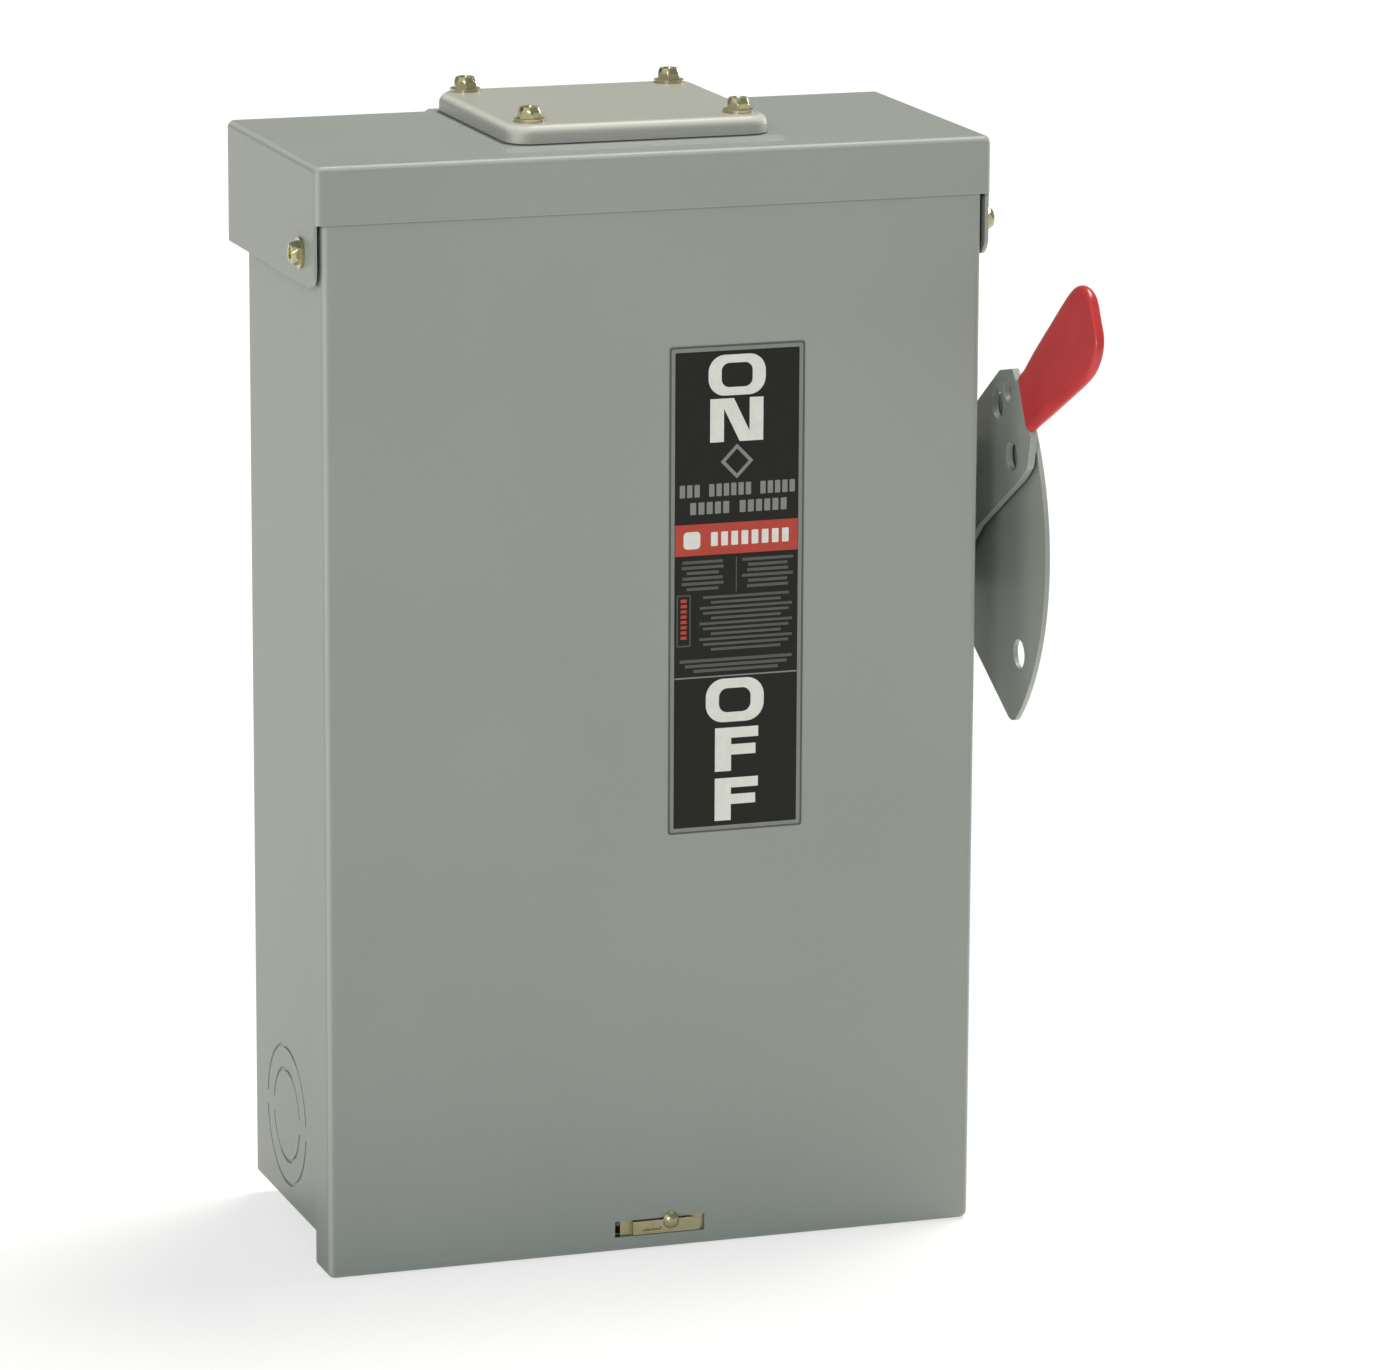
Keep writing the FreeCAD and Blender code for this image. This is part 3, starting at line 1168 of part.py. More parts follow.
failed = [thing.Name for thing in doc.Objects if {"Invalid", "Error"} & set(thing.State)]
if failed:
    raise ValueError(f"not built: {failed}")
for thing in NODES:
    if thing.Shape.isNull() or not thing.Shape.isValid() or not thing.Shape.Solids:
        raise ValueError(f"bad shape: {thing.Label}")

os.makedirs("parts", exist_ok=True)
for thing in NODES:
    thing.Shape.exportStep(f"parts/{thing.Label}.step")
    bounds = thing.Shape.BoundBox
    print(f"{thing.Label:24s} solids {len(thing.Shape.Solids)}  volume {thing.Shape.Volume:10.1f}  "
          f"x {bounds.XMin:7.1f} {bounds.XMax:7.1f}  y {bounds.YMin:7.1f} {bounds.YMax:7.1f}  "
          f"z {bounds.ZMin:7.1f} {bounds.ZMax:7.1f}")
print(len(NODES), "nodes")
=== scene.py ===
# %% [markdown]
# An outdoor safety switch: a grey powder-coated steel box under a rain hood, with a lift-up
# cover, a red-gripped handle on its right side, and knife switches and fuses inside.
# The packed model already holds every part at its true size and place, so this lesson
# adds what a model of solids lacks: finishes, soft edges, the printed label, and the
# dipped vinyl grip. All lengths are metres, in the packed model's own frame.

# %% Load the packed model
import json
import math

import bmesh
import bpy
from mathutils import Matrix, Vector


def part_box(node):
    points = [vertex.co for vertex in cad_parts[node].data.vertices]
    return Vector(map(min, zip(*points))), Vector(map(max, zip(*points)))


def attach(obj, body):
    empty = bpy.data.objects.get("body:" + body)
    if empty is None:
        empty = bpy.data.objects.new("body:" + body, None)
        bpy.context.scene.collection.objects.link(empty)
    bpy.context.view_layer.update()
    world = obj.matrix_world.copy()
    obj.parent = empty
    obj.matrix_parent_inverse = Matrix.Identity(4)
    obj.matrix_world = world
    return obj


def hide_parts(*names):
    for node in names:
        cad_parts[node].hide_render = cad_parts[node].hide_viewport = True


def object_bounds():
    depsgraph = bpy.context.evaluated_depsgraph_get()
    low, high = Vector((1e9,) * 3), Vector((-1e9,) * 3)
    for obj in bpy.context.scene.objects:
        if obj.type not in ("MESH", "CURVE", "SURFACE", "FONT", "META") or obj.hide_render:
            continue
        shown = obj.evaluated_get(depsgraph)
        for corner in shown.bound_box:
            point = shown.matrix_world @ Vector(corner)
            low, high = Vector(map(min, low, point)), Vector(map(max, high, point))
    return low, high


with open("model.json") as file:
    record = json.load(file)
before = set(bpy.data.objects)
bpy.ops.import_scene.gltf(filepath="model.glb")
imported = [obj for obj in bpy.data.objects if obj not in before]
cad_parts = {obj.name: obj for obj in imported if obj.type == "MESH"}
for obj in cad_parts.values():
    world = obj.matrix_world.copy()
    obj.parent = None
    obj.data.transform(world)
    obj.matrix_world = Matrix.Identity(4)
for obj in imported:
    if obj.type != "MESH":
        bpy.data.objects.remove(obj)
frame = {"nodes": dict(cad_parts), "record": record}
cad_box = [list(corner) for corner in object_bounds()]
MM = 0.001

# %% [markdown]
# The camera comes first, because everything is judged through it. It is a long lens, far
# away, looking a little down at the front and left side, so upright edges stay nearly
# parallel. Its turn is built from azimuth, elevation and roll instead of aimed at a
# target, so each can be adjusted alone.

# %% Camera
LENS, FRAME_WIDTH = 184.36, 36.0
CAMERA_PLACE = (-0.88985, -2.79212, 0.65486)
AZIMUTH, ELEVATION, ROLL = (math.radians(angle) for angle in (-18.77, 13.03, 0.27))
back = Vector((math.sin(AZIMUTH) * math.cos(ELEVATION),
               -math.cos(AZIMUTH) * math.cos(ELEVATION), math.sin(ELEVATION)))
level = Vector((math.cos(AZIMUTH), math.sin(AZIMUTH), 0))
upward = back.cross(level)
right = level * math.cos(ROLL) + upward * math.sin(ROLL)
up = upward * math.cos(ROLL) - level * math.sin(ROLL)

camera = bpy.data.objects.new("camera", bpy.data.cameras.new("camera"))
bpy.context.scene.collection.objects.link(camera)
bpy.context.scene.camera = camera
camera.data.lens = LENS
camera.data.sensor_width = FRAME_WIDTH
turn = Matrix((right, up, back)).transposed().to_4x4()
camera.matrix_world = Matrix.Translation(CAMERA_PLACE) @ turn
print("camera looks along", [round(value, 3) for value in -back])

# %% [markdown]
# The studio is a white room. An even, weak sky fills every side. The strongest light is
# overhead: it makes the top and the floor bright, and the floor throws light back on the
# upright sides. A narrow key light from the front left adds form and gives the handle guard
# its upright shadow edge. A wide, weak window lifts the left side, and a weak rim light
# from behind on the right draws bright lines along the bends. All are suns, because a sun
# doesn't fade with distance and the pale floor stays one tone to the horizon. The standard
# view transform keeps paint colours as they are mixed.

# %% Sky
SEEN_SKY = 1.05
FILL_SKY = 0.31
scene = bpy.context.scene
scene.view_settings.view_transform = "Standard"
scene.view_settings.look = "None"

world = bpy.data.worlds.new("studio")
scene.world = world
world.use_nodes = True
sky_nodes = world.node_tree.nodes
sky_links = world.node_tree.links
seen = sky_nodes["Background"]
seen.inputs["Color"].default_value = (1, 1, 1, 1)
seen.inputs["Strength"].default_value = SEEN_SKY
fill = sky_nodes.new("ShaderNodeBackground")
fill.inputs["Color"].default_value = (0.95, 1.0, 1.0, 1)
fill.inputs["Strength"].default_value = FILL_SKY
path = sky_nodes.new("ShaderNodeLightPath")
choose = sky_nodes.new("ShaderNodeMixShader")
sky_links.new(path.outputs["Is Camera Ray"], choose.inputs[0])
sky_links.new(fill.outputs[0], choose.inputs[1])
sky_links.new(seen.outputs[0], choose.inputs[2])
sky_links.new(choose.outputs[0], sky_nodes["World Output"].inputs["Surface"])
print("sky:", FILL_SKY, "as light,", SEEN_SKY, "as background")

# %% Suns


def soft_sun(name, towards, strength, spread, colour):
    """A sun whose light comes from the given direction, spread over an angle in degrees."""
    data = bpy.data.lights.new(name, "SUN")
    data.energy = strength
    data.angle = math.radians(spread)
    data.color = colour
    lamp = bpy.data.objects.new(name, data)
    scene.collection.objects.link(lamp)
    lamp.rotation_euler = Vector(towards).to_track_quat("Z", "Y").to_euler()
    return lamp


suns = [soft_sun("window", (-0.75, -0.15, 0.50), 0.45, 50, (1.0, 0.98, 0.91)),
        soft_sun("key", (-0.50, -0.80, 0.33), 1.00, 10, (0.97, 1.0, 1.0)),
        soft_sun("top", (0.30, 0.16, 0.92), 2.80, 24, (1.0, 0.96, 0.85)),
        soft_sun("rim", (0.85, 0.40, 0.10), 0.80, 20, (1.0, 1.0, 1.0))]
print("suns:", [sun.name for sun in suns])

# %% Floor
FLOOR_HALF = 12.0
FLOOR_GAP = 0.4 * MM
floor_mesh = bpy.data.meshes.new("floor")
floor_z = cad_box[0][2] - FLOOR_GAP
floor_mesh.from_pydata([(x * FLOOR_HALF, y * FLOOR_HALF, floor_z)
                        for x, y in ((-1, -1), (1, -1), (1, 1), (-1, 1))], [], [(0, 1, 2, 3)])
floor = bpy.data.objects.new("floor", floor_mesh)
scene.collection.objects.link(floor)
print("floor at", round(floor_z, 4))

# %% [markdown]
# Every finish is a small graph of shader nodes. Written out node by node a graph is hard
# to read, so two small classes let it be written as arithmetic. The first, Wire, holds an
# output socket that can be added, subtracted or multiplied, and each operator adds a Math
# node. The reflected forms let a plain number stand first, as in 1 - mask.

# %% Shader arithmetic


class Wire:
    """A shader output that works in expressions like a number."""

    def __init__(self, finish, socket):
        self.finish = finish
        self.socket = socket

    def math(self, operation, first, second=None, clamp=False):
        """One Math node on one or two numbers or Wires."""
        inputs = {0: first} if second is None else {0: first, 1: second}
        return self.finish.node("Math", {"operation": operation, "use_clamp": clamp}, inputs)

    def __add__(self, other):
        return self.math("ADD", self, other)

    def __sub__(self, other):
        return self.math("SUBTRACT", self, other)

    def __rsub__(self, other):
        return self.math("SUBTRACT", other, self)

    def __mul__(self, other):
        return self.math("MULTIPLY", self, other)

    __radd__ = __add__
    __rmul__ = __mul__

    def clamped(self):
        """Held between 0 and 1."""
        return self.math("ADD", self, 0.0, clamp=True)

    def ramp(self, low, high):
        """0 below low, 1 above high, and straight between."""
        return ((self - low) * (1 / (high - low))).clamped()


print("a Wire takes + - * and", [name for name in vars(Wire) if not name.startswith("_")])

# %% [markdown]
# The second class, Finish, is a material. One method adds any kind of node: it takes the
# type, then the settings, then the values or links of the sockets. The other methods are
# the patterns that every finish here uses: cloudy noise, worn edges, folds and bump.

# %% Finishes
CORNER_SAMPLES = 4


class Finish:
    """A material, and the one method that adds its nodes."""

    def __init__(self, name):
        self.material = bpy.data.materials.new(name)
        self.material.use_nodes = True
        self.tree = self.material.node_tree
        self.surface = self.tree.nodes["Principled BSDF"]

    def node(self, kind, settings=None, inputs=None, output=0):
        """Add a node: its settings first, then the values or links of its sockets."""
        made = self.tree.nodes.new(f"ShaderNode{kind}")
        for name, value in (settings or {}).items():
            setattr(made, name, value)
        for name, value in (inputs or {}).items():
            self.feed(made.inputs[name], value)
        return Wire(self, made.outputs[output])

    def feed(self, socket, value):
        """Set a socket, or link it when the value is a Wire."""
        if isinstance(value, Wire):
            self.tree.links.new(value.socket, socket)
        else:
            socket.default_value = value

    def set(self, **sockets):
        """Feed sockets of the surface shader, such as base_color or roughness."""
        for name, value in sockets.items():
            self.feed(self.surface.inputs[name.replace("_", " ").title().replace("Ior", "IOR")], value)
        return self

    def place(self):
        """The point on the piece itself, which stays put when the piece moves."""
        return self.node("TexCoord", output=3)

    def noise(self, size, detail=2.0, stretch=(1, 1, 1), roughness=0.5):
        """Cloudy values from 0 to 1 with features of about a size in metres."""
        spot = self.node("VectorMath", {"operation": "MULTIPLY"}, {0: self.place(), 1: stretch})
        return self.node("TexNoise", None, {"Vector": spot, "Scale": 1 / size, "Detail": detail,
                                            "Roughness": roughness})

    def mix(self, share, first, second):
        """From the first colour at 0 to the second at 1."""
        return self.node("Mix", {"data_type": "RGBA"}, {0: share, 6: first, 7: second}, output=2)

    def edges(self, radius):
        """1 on outer and inner corners, falling to 0 at a radius in metres from them."""
        rounded = self.node("Bevel", {"samples": CORNER_SAMPLES}, {"Radius": radius})
        plain = self.node("NewGeometry", output=1)
        facing = self.node("VectorMath", {"operation": "DOT_PRODUCT"}, {0: rounded, 1: plain}, output=1)
        return (1 - facing).ramp(0.01, 0.28)

    def bends(self):
        """1 where a surface turns between the piece's own three directions, as on a fold."""
        facing = self.node("VectorMath", {"operation": "ABSOLUTE"},
                           {0: self.node("TexCoord", output=1)})
        parts = [self.node("SeparateXYZ", None, {0: facing}, output=number) for number in range(3)]
        largest = parts[0].math("MAXIMUM", parts[0], parts[1].math("MAXIMUM", parts[1], parts[2]))
        return (1 - largest).ramp(0.02, 0.22)

    def bump(self, height, depth):
        """Raise the surface where height is 1, by a depth in metres."""
        return self.node("Bump", None, {"Height": height, "Distance": depth, "Strength": 1.0})


def tone(colour, factor):
    """A colour with its alpha, made lighter or darker."""
    return tuple(min(1.0, channel * factor) for channel in colour[:3]) + (1.0,)


print("a tone lighter:", [round(channel, 3) for channel in tone((0.5, 0.5, 0.5), 1.1)])

# %% [markdown]
# Powder coat is plastic dust, baked onto the steel. It comes out satin, with a faint
# orange-peel ripple about a millimetre across, slow changes of tone over a panel, and a
# thinner, smoother film where it flows off edges and folds. Those edges and folds are also
# painted paler, a painted highlight for the light that the bends catch. The box and the
# cast hub plate differ only in grey, so one function makes both.

# %% Powder coat
ORANGE_PEEL = 1.3 * MM
FILM_RIPPLE = 0.012 * MM
SATIN = 0.36


def powder_coat(name, colour, fold_highlight_gain):
    """Satin baked powder: cloudy tone, a painted highlight on edges and folds, and orange peel."""
    coat = Finish(name)
    clouds = coat.noise(110 * MM, 3.0)
    specks = coat.noise(2.2 * MM, 3.0, roughness=0.7)
    thin = (coat.edges(1.0 * MM) * 0.6 + coat.bends()).clamped()
    tint = coat.mix(clouds.ramp(0.3, 0.7), tone(colour, 0.975), tone(colour, 1.025))
    tint = coat.mix(specks.ramp(0.52, 0.85) * 0.20, tint, tone(colour, 1.25))
    # Painted highlight: edges and folds are painted paler than the panel, for the light the bends catch.
    tint = coat.mix(thin * 0.8, tint, tone(colour, fold_highlight_gain))
    gloss = SATIN + (clouds - 0.5) * 0.10 + (specks - 0.5) * 0.08 - thin * 0.10
    peel = coat.noise(ORANGE_PEEL, 1.5)
    return coat.set(base_color=tint, roughness=gloss, normal=coat.bump(peel, FILM_RIPPLE),
                    specular_ior_level=0.10)


GREY = (0.270, 0.290, 0.271)
PALE_GREY = (0.355, 0.358, 0.328)
# The gain is how much paler the painted highlight on edges and folds makes each coat.
FINISHES = {"powder_coat": powder_coat("powder_coat", GREY, fold_highlight_gain=1.45),
            "hub_coat": powder_coat("hub_coat", PALE_GREY, fold_highlight_gain=1.70)}
print("made", list(FINISHES))

# %% [markdown]
# Screws and the latch are steel with yellow chromate over zinc. The film is a few hundred
# nanometres thick, so it shows olive, straw and pinkish patches as it thickens and thins,
# and it is painted brighter on edges. The inner steelwork has the same zinc with a clear,
# bluish film.

# %% Zinc plating


def zinc_plate(name, base, patch, bright, roughness):
    """Plated steel with patches of film colour and brighter edges."""
    plate = Finish(name)
    patches = plate.noise(5 * MM, 3.0, roughness=0.6)
    grain = plate.noise(0.6 * MM, 2.0)
    brighter_edges = plate.edges(0.5 * MM)
    tint = plate.mix(patches.ramp(0.35, 0.65), base, patch)
    # Edges are painted brighter than the film.
    tint = plate.mix(brighter_edges * 0.7, tint, bright)
    gloss = roughness + (patches - 0.5) * 0.16 + (grain - 0.5) * 0.10
    return plate.set(base_color=tint, roughness=gloss, metallic=0.92,
                     normal=plate.bump(grain, 0.006 * MM))


FINISHES["yellow_zinc"] = zinc_plate("yellow_zinc", (0.40, 0.38, 0.19, 1), (0.46, 0.40, 0.28, 1),
                                     (0.80, 0.76, 0.60, 1), 0.30)
FINISHES["plated_steel"] = zinc_plate("plated_steel", (0.52, 0.54, 0.56, 1), (0.44, 0.46, 0.50, 1),
                                      (0.80, 0.81, 0.82, 1), 0.38)
FINISHES["spring_steel"] = zinc_plate("spring_steel", (0.26, 0.26, 0.28, 1), (0.18, 0.17, 0.17, 1),
                                      (0.50, 0.50, 0.50, 1), 0.30)
print("finishes so far:", len(FINISHES))

# %% [markdown]
# The current runs through strips of copper with a thin tin flash. Rolling leaves fine
# lines along the strip, and the tin goes dull and lets the copper show. The wire lugs and
# bars are cut from extruded aluminium, whose fine lines come from the die.

# %% Copper and aluminium


def rolled_metal(name, base, other, stretch, roughness):
    """Metal strip: long fine rolling lines over slow patches of tarnish."""
    strip = Finish(name)
    tarnish = strip.noise(9 * MM, 4.0, roughness=0.6)
    lines = strip.noise(0.35 * MM, 1.5, stretch=stretch)
    brighter_edges = strip.edges(0.5 * MM)
    tint = strip.mix(tarnish.ramp(0.38, 0.66), base, other)
    tint = strip.mix(brighter_edges * 0.5, tint, tone(base, 1.35))
    gloss = roughness + (lines - 0.5) * 0.22 + (tarnish - 0.5) * 0.12
    return strip.set(base_color=tint, roughness=gloss, metallic=0.95,
                     normal=strip.bump(lines, 0.005 * MM))


FINISHES["copper"] = rolled_metal("copper", (0.60, 0.33, 0.20, 1), (0.56, 0.44, 0.36, 1),
                                  (1, 1, 0.06), 0.34)
FINISHES["lug_aluminium"] = rolled_metal("lug_aluminium", (0.66, 0.67, 0.68, 1),
                                         (0.56, 0.57, 0.58, 1), (0.05, 1, 1), 0.36)
print("finishes so far:", len(FINISHES))

# %% [markdown]
# The rest are plastics, rubber and fibre. Each is one base colour broken up at the scale
# that its own making leaves: a faint mottle in moulded phenolic, pits in rubber, laid
# fibres in vulcanised board, and a glass-cloth weave under the melamine of a fuse tube.

# %% Plastics, rubber and fibre


def moulded(name, base, mottle, size, depth, roughness, stretch=(1, 1, 1)):
    """A moulded or laid material: mottled colour, soft bump, and paler edges."""
    body = Finish(name)
    spots = body.noise(size, 4.0, stretch=stretch, roughness=0.6)
    edge = body.edges(0.8 * MM)
    tint = body.mix(spots.ramp(0.35, 0.68), base, mottle)
    tint = body.mix(edge * 0.5, tint, tone(mottle, 1.4))
    gloss = roughness + (spots - 0.5) * 0.14
    return body.set(base_color=tint, roughness=gloss, normal=body.bump(spots, depth))


WEAVE = 260


def fuse_wrap():
    """Melamine over glass cloth: a fine weave round the tube."""
    wrap = moulded("fuse_tube", (0.40, 0.31, 0.20, 1), (0.47, 0.38, 0.26, 1), 6 * MM, 0, 0.42)
    over = wrap.node("TexWave", {"bands_direction": "Z"},
                     {"Vector": wrap.place(), "Scale": WEAVE, "Distortion": 0.4})
    around = wrap.node("TexWave", {"bands_direction": "X"},
                       {"Vector": wrap.place(), "Scale": WEAVE, "Distortion": 0.4})
    return wrap.set(normal=wrap.bump(over * around, 0.05 * MM))


def clear_sheet():
    """Thin clear plastic, hazed by handling."""
    sheet = moulded("clear_shield", (0.74, 0.80, 0.80, 1), (0.82, 0.86, 0.86, 1), 12 * MM,
                    0.01 * MM, 0.16)
    edge = sheet.edges(1.2 * MM)
    return sheet.set(alpha=0.20 + edge * 0.5)


FINISHES["moulded_black"] = moulded("moulded_black", (0.018, 0.018, 0.020, 1),
                                    (0.028, 0.028, 0.030, 1), 3 * MM, 0.02 * MM, 0.40)
FINISHES["gasket_rubber"] = moulded("gasket_rubber", (0.085, 0.088, 0.080, 1),
                                    (0.115, 0.118, 0.108, 1), 1.2 * MM, 0.04 * MM, 0.75)
FINISHES["fibre_board"] = moulded("fibre_board", (0.30, 0.22, 0.14, 1), (0.38, 0.30, 0.20, 1),
                                  1.2 * MM, 0.03 * MM, 0.65, stretch=(1, 1, 0.12))
FINISHES["fuse_tube"] = fuse_wrap()
FINISHES["clear_shield"] = clear_sheet()
print("finishes so far:", len(FINISHES))

# %% [markdown]
# The grip is steel dipped in liquid vinyl: thick, soft and rounded, saturated red with a
# gentle shine. Its edges are painted a paler, pinker red, a painted highlight along the
# rounded edge. The label is printed polyester film: ink areas are satin, each its own flat
# colour, so what varies is a faint mottle and fine scuffs in the gloss.

# %% Red vinyl and label inks


def dipped_vinyl():
    """Thick soft vinyl: clouds of red, fine pores, and a painted highlight on the rounded edge."""
    vinyl = Finish("red_vinyl")
    clouds = vinyl.noise(18 * MM, 3.0)
    pores = vinyl.noise(0.9 * MM, 2.0)
    edge = vinyl.edges(3 * MM)
    tint = vinyl.mix(clouds.ramp(0.3, 0.7), (0.430, 0.027, 0.030, 1), (0.50, 0.034, 0.040, 1))
    # Painted highlight: the rounded edge is painted a paler, pinker red.
    tint = vinyl.mix(edge * 0.5, tint, (0.58, 0.046, 0.066, 1))
    return vinyl.set(base_color=tint, roughness=0.30 + (clouds - 0.5) * 0.14,
                     normal=vinyl.bump(pores, 0.01 * MM))


INK_ROUGHNESS = 0.42


def ink(name, colour):
    """One printed colour of the label film."""
    print_ink = Finish(name)
    mottle = print_ink.noise(4 * MM, 4.0, roughness=0.7)
    scuff = print_ink.noise(1.0 * MM, 2.0, stretch=(1, 1, 0.15))
    tint = print_ink.mix(mottle.ramp(0.3, 0.75), tone(colour, 0.94), tone(colour, 1.06))
    gloss = INK_ROUGHNESS + scuff.ramp(0.55, 0.8) * 0.16
    return print_ink.set(base_color=tint, roughness=gloss, specular_ior_level=0.15,
                         normal=print_ink.bump(mottle, 0.004 * MM))


FINISHES["red_vinyl"] = dipped_vinyl()
FINISHES["label_print"] = ink("label_print", (0.013, 0.013, 0.011))
INKS = {"white": ink("label_white", (0.62, 0.62, 0.585)),
        "grey": ink("label_grey", (0.20, 0.21, 0.195)),
        "dim": ink("label_dim", (0.085, 0.09, 0.083)),
        "red": ink("label_red", (0.40, 0.055, 0.040))}
print("finishes:", len(FINISHES) + len(INKS))

# %% [markdown]
# The floor is a matt pale sweep of studio paper with a slight grain. Over-exposed paper
# shows almost no shadow, so a part of what the camera sees of it is plain white, while
# the light that it throws back on the box is left as it is.

# %% Floor paper
OVER_EXPOSED = 0.65
paper = Finish("studio_paper")
grain = paper.noise(3 * MM, 2.0)
paper_tone = paper.mix(grain, (0.93, 0.93, 0.93, 1), (0.96, 0.96, 0.96, 1))
paper.set(base_color=paper_tone, roughness=0.9, specular_ior_level=0.1)
matt = Wire(paper, paper.surface.outputs[0])
glow = paper.node("Emission", None, {"Color": (1, 1, 1, 1), "Strength": 1.0})
exposed = paper.node("LightPath") * OVER_EXPOSED
blend = paper.node("MixShader", None, {0: exposed, 1: matt, 2: glow})
paper.tree.links.new(blend.socket, paper.tree.nodes["Material Output"].inputs["Surface"])
floor_mesh.materials.append(paper.material)
print("floor finish:", paper.material.name)

# %% [markdown]
# Each packed part gets the finish that its record names. The parts arrive with vertices
# doubled along hard edges, which would leave a bevel nothing to hold on to. A Weld joins
# them, a Bevel then takes the sharpness off every corner, as punching and plating do, and
# an Edge Split keeps the remaining corners crisp. A wide panel beside a fold would still
# take some of the fold's turn and show it as a shade across the panel, so a Weighted Normal
# lets the largest face decide. Smooth shading is switched on first, and all the rest is
# modifiers, so every point of the part stays where it was packed.

# %% Dress the packed parts
EDGE_EASE = {"hub_plate": 0.7, "switch_base": 0.8, "blade_crossbar": 0.8, "neutral_insulator": 0.8,
             "line_lugs": 0.5, "load_lugs": 0.5, "neutral_bar": 0.5, "ground_bar": 0.5}
SHEET_EASE = 0.3
WELD_REACH = 0.0005 * MM
EASED_FROM = math.radians(50)
CREASED_FROM = math.radians(34)
NO_EASE = {"toggle_spring", "hub_gasket", "line_shield"}


def ease_edges(piece, width):
    """Soften a part's corners and keep its panels flat, and leave its points alone."""
    for face in piece.data.polygons:
        face.use_smooth = True
    weld = piece.modifiers.new("weld", "WELD")
    weld.merge_threshold = WELD_REACH
    if width:
        bevel = piece.modifiers.new("ease", "BEVEL")
        bevel.width = width
        bevel.segments = 2
        bevel.limit_method = "ANGLE"
        bevel.angle_limit = EASED_FROM
        bevel.use_clamp_overlap = True
    split = piece.modifiers.new("crease", "EDGE_SPLIT")
    split.split_angle = CREASED_FROM
    level_shade = piece.modifiers.new("level_shade", "WEIGHTED_NORMAL")
    level_shade.mode = "FACE_AREA"
    level_shade.weight = 100
    level_shade.keep_sharp = True


slots = {part["node"]: part["material_slot"] for part in frame["record"]["subparts"]}
for name, piece in sorted(frame["nodes"].items()):
    piece.data.materials.clear()
    piece.data.materials.append(FINISHES[slots[name]].material)
    ease_edges(piece, 0 if name in NO_EASE else EDGE_EASE.get(name, SHEET_EASE) * MM)
print("dressed", len(slots), "parts")

# %% [markdown]
# Helpers for new pieces. Flat artwork, such as a label, is drawn as outlines in the plane
# of the cover and given a real thickness. An outline is a list of points, and round
# corners are worked out as arcs.

# %% Outline helpers


def rounded(x_span, z_span, radius, steps=6):
    """The outline of a rectangle with rounded corners, anticlockwise."""
    (left, right_side), (low, high) = x_span, z_span
    centres = ((right_side - radius, high - radius, 0), (left + radius, high - radius, 90),
               (left + radius, low + radius, 180), (right_side - radius, low + radius, 270))
    outline = []
    for x, z, start in centres:
        for step in range(steps + 1):
            angle = math.radians(start + 90 * step / steps)
            outline.append((x + radius * math.cos(angle), z + radius * math.sin(angle)))
    return outline


def film(name, shapes, back_face, depth, finish):
    """One thin piece on the cover, made of flat outlines, which may have holes.

    Each shape is a list of outlines in millimetres: the first is its rim, and the rest are
    holes. The place of its back face and its depth are in metres.
    """
    mesh = bpy.data.meshes.new(name)
    made = bmesh.new()
    for outlines in shapes:
        edges = []
        for outline in outlines:
            corners = [made.verts.new((x * MM, back_face, z * MM)) for x, z in outline]
            edges += [made.edges.new((corner, corners[(index + 1) % len(corners)]))
                      for index, corner in enumerate(corners)]
        bmesh.ops.triangle_fill(made, use_beauty=True, edges=edges, normal=(0, -1, 0))
    for face in made.faces:
        if face.normal.y > 0:
            face.normal_flip()
    base = list(made.faces)
    raised = bmesh.ops.extrude_face_region(made, geom=base)
    moved = [item for item in raised["geom"] if isinstance(item, bmesh.types.BMVert)]
    bmesh.ops.translate(made, vec=(0, -depth, 0), verts=moved)
    bmesh.ops.recalc_face_normals(made, faces=made.faces)
    made.to_mesh(mesh)
    made.free()
    mesh.materials.append(finish.material)
    piece = bpy.data.objects.new(name, mesh)
    scene.collection.objects.link(piece)
    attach(piece, "cover")
    return piece


print("a rounded outline has", len(rounded((0, 10), (0, 5), 1)), "points")

# %% [markdown]
# The label tells the user which way the handle goes. On the real one it is a screen
# print; here each ink is its own very thin piece, so its edges stay crisp at any
# distance. The sheet takes its place from the packed label, and everything on it is
# measured down from the label's top and across from its middle, in millimetres. Only the
# generic words for the two handle positions are lettered, and all other print is plain
# bars and blocks.

# %% Places on the label
label_low, label_high = (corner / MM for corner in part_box("label_plate"))
label_front = label_low.y * MM
cover_front = label_high.y * MM
MIDDLE = (label_low.x + label_high.x) / 2
PRINT_DROP = 0.2
TOP = label_high.z - PRINT_DROP
SHEET_DEPTH = 0.20 * MM
FIELD_DEPTH = 0.04 * MM
INK_DEPTH = 0.03 * MM


def across(left, right_side, top, bottom):
    """A rectangle on the label: distances from its middle, and down from its top."""
    return (MIDDLE + left, MIDDLE + right_side), (TOP - bottom, TOP - top)


def bar(left, right_side, top, bottom, radius):
    """A film shape of one rounded rectangle on the label."""
    return [rounded(*across(left, right_side, top, bottom), radius, steps=3)]


print("label face at", round(label_front, 4), "and cover face at", round(cover_front, 4))

# %% [markdown]
# The sheet lies on the cover's face and takes the place of the packed label. The rim and
# the black field lie on the sheet, and the print lies on the field, each a few hundredths
# of a millimetre proud of the last, so the inks don't flicker into each other.

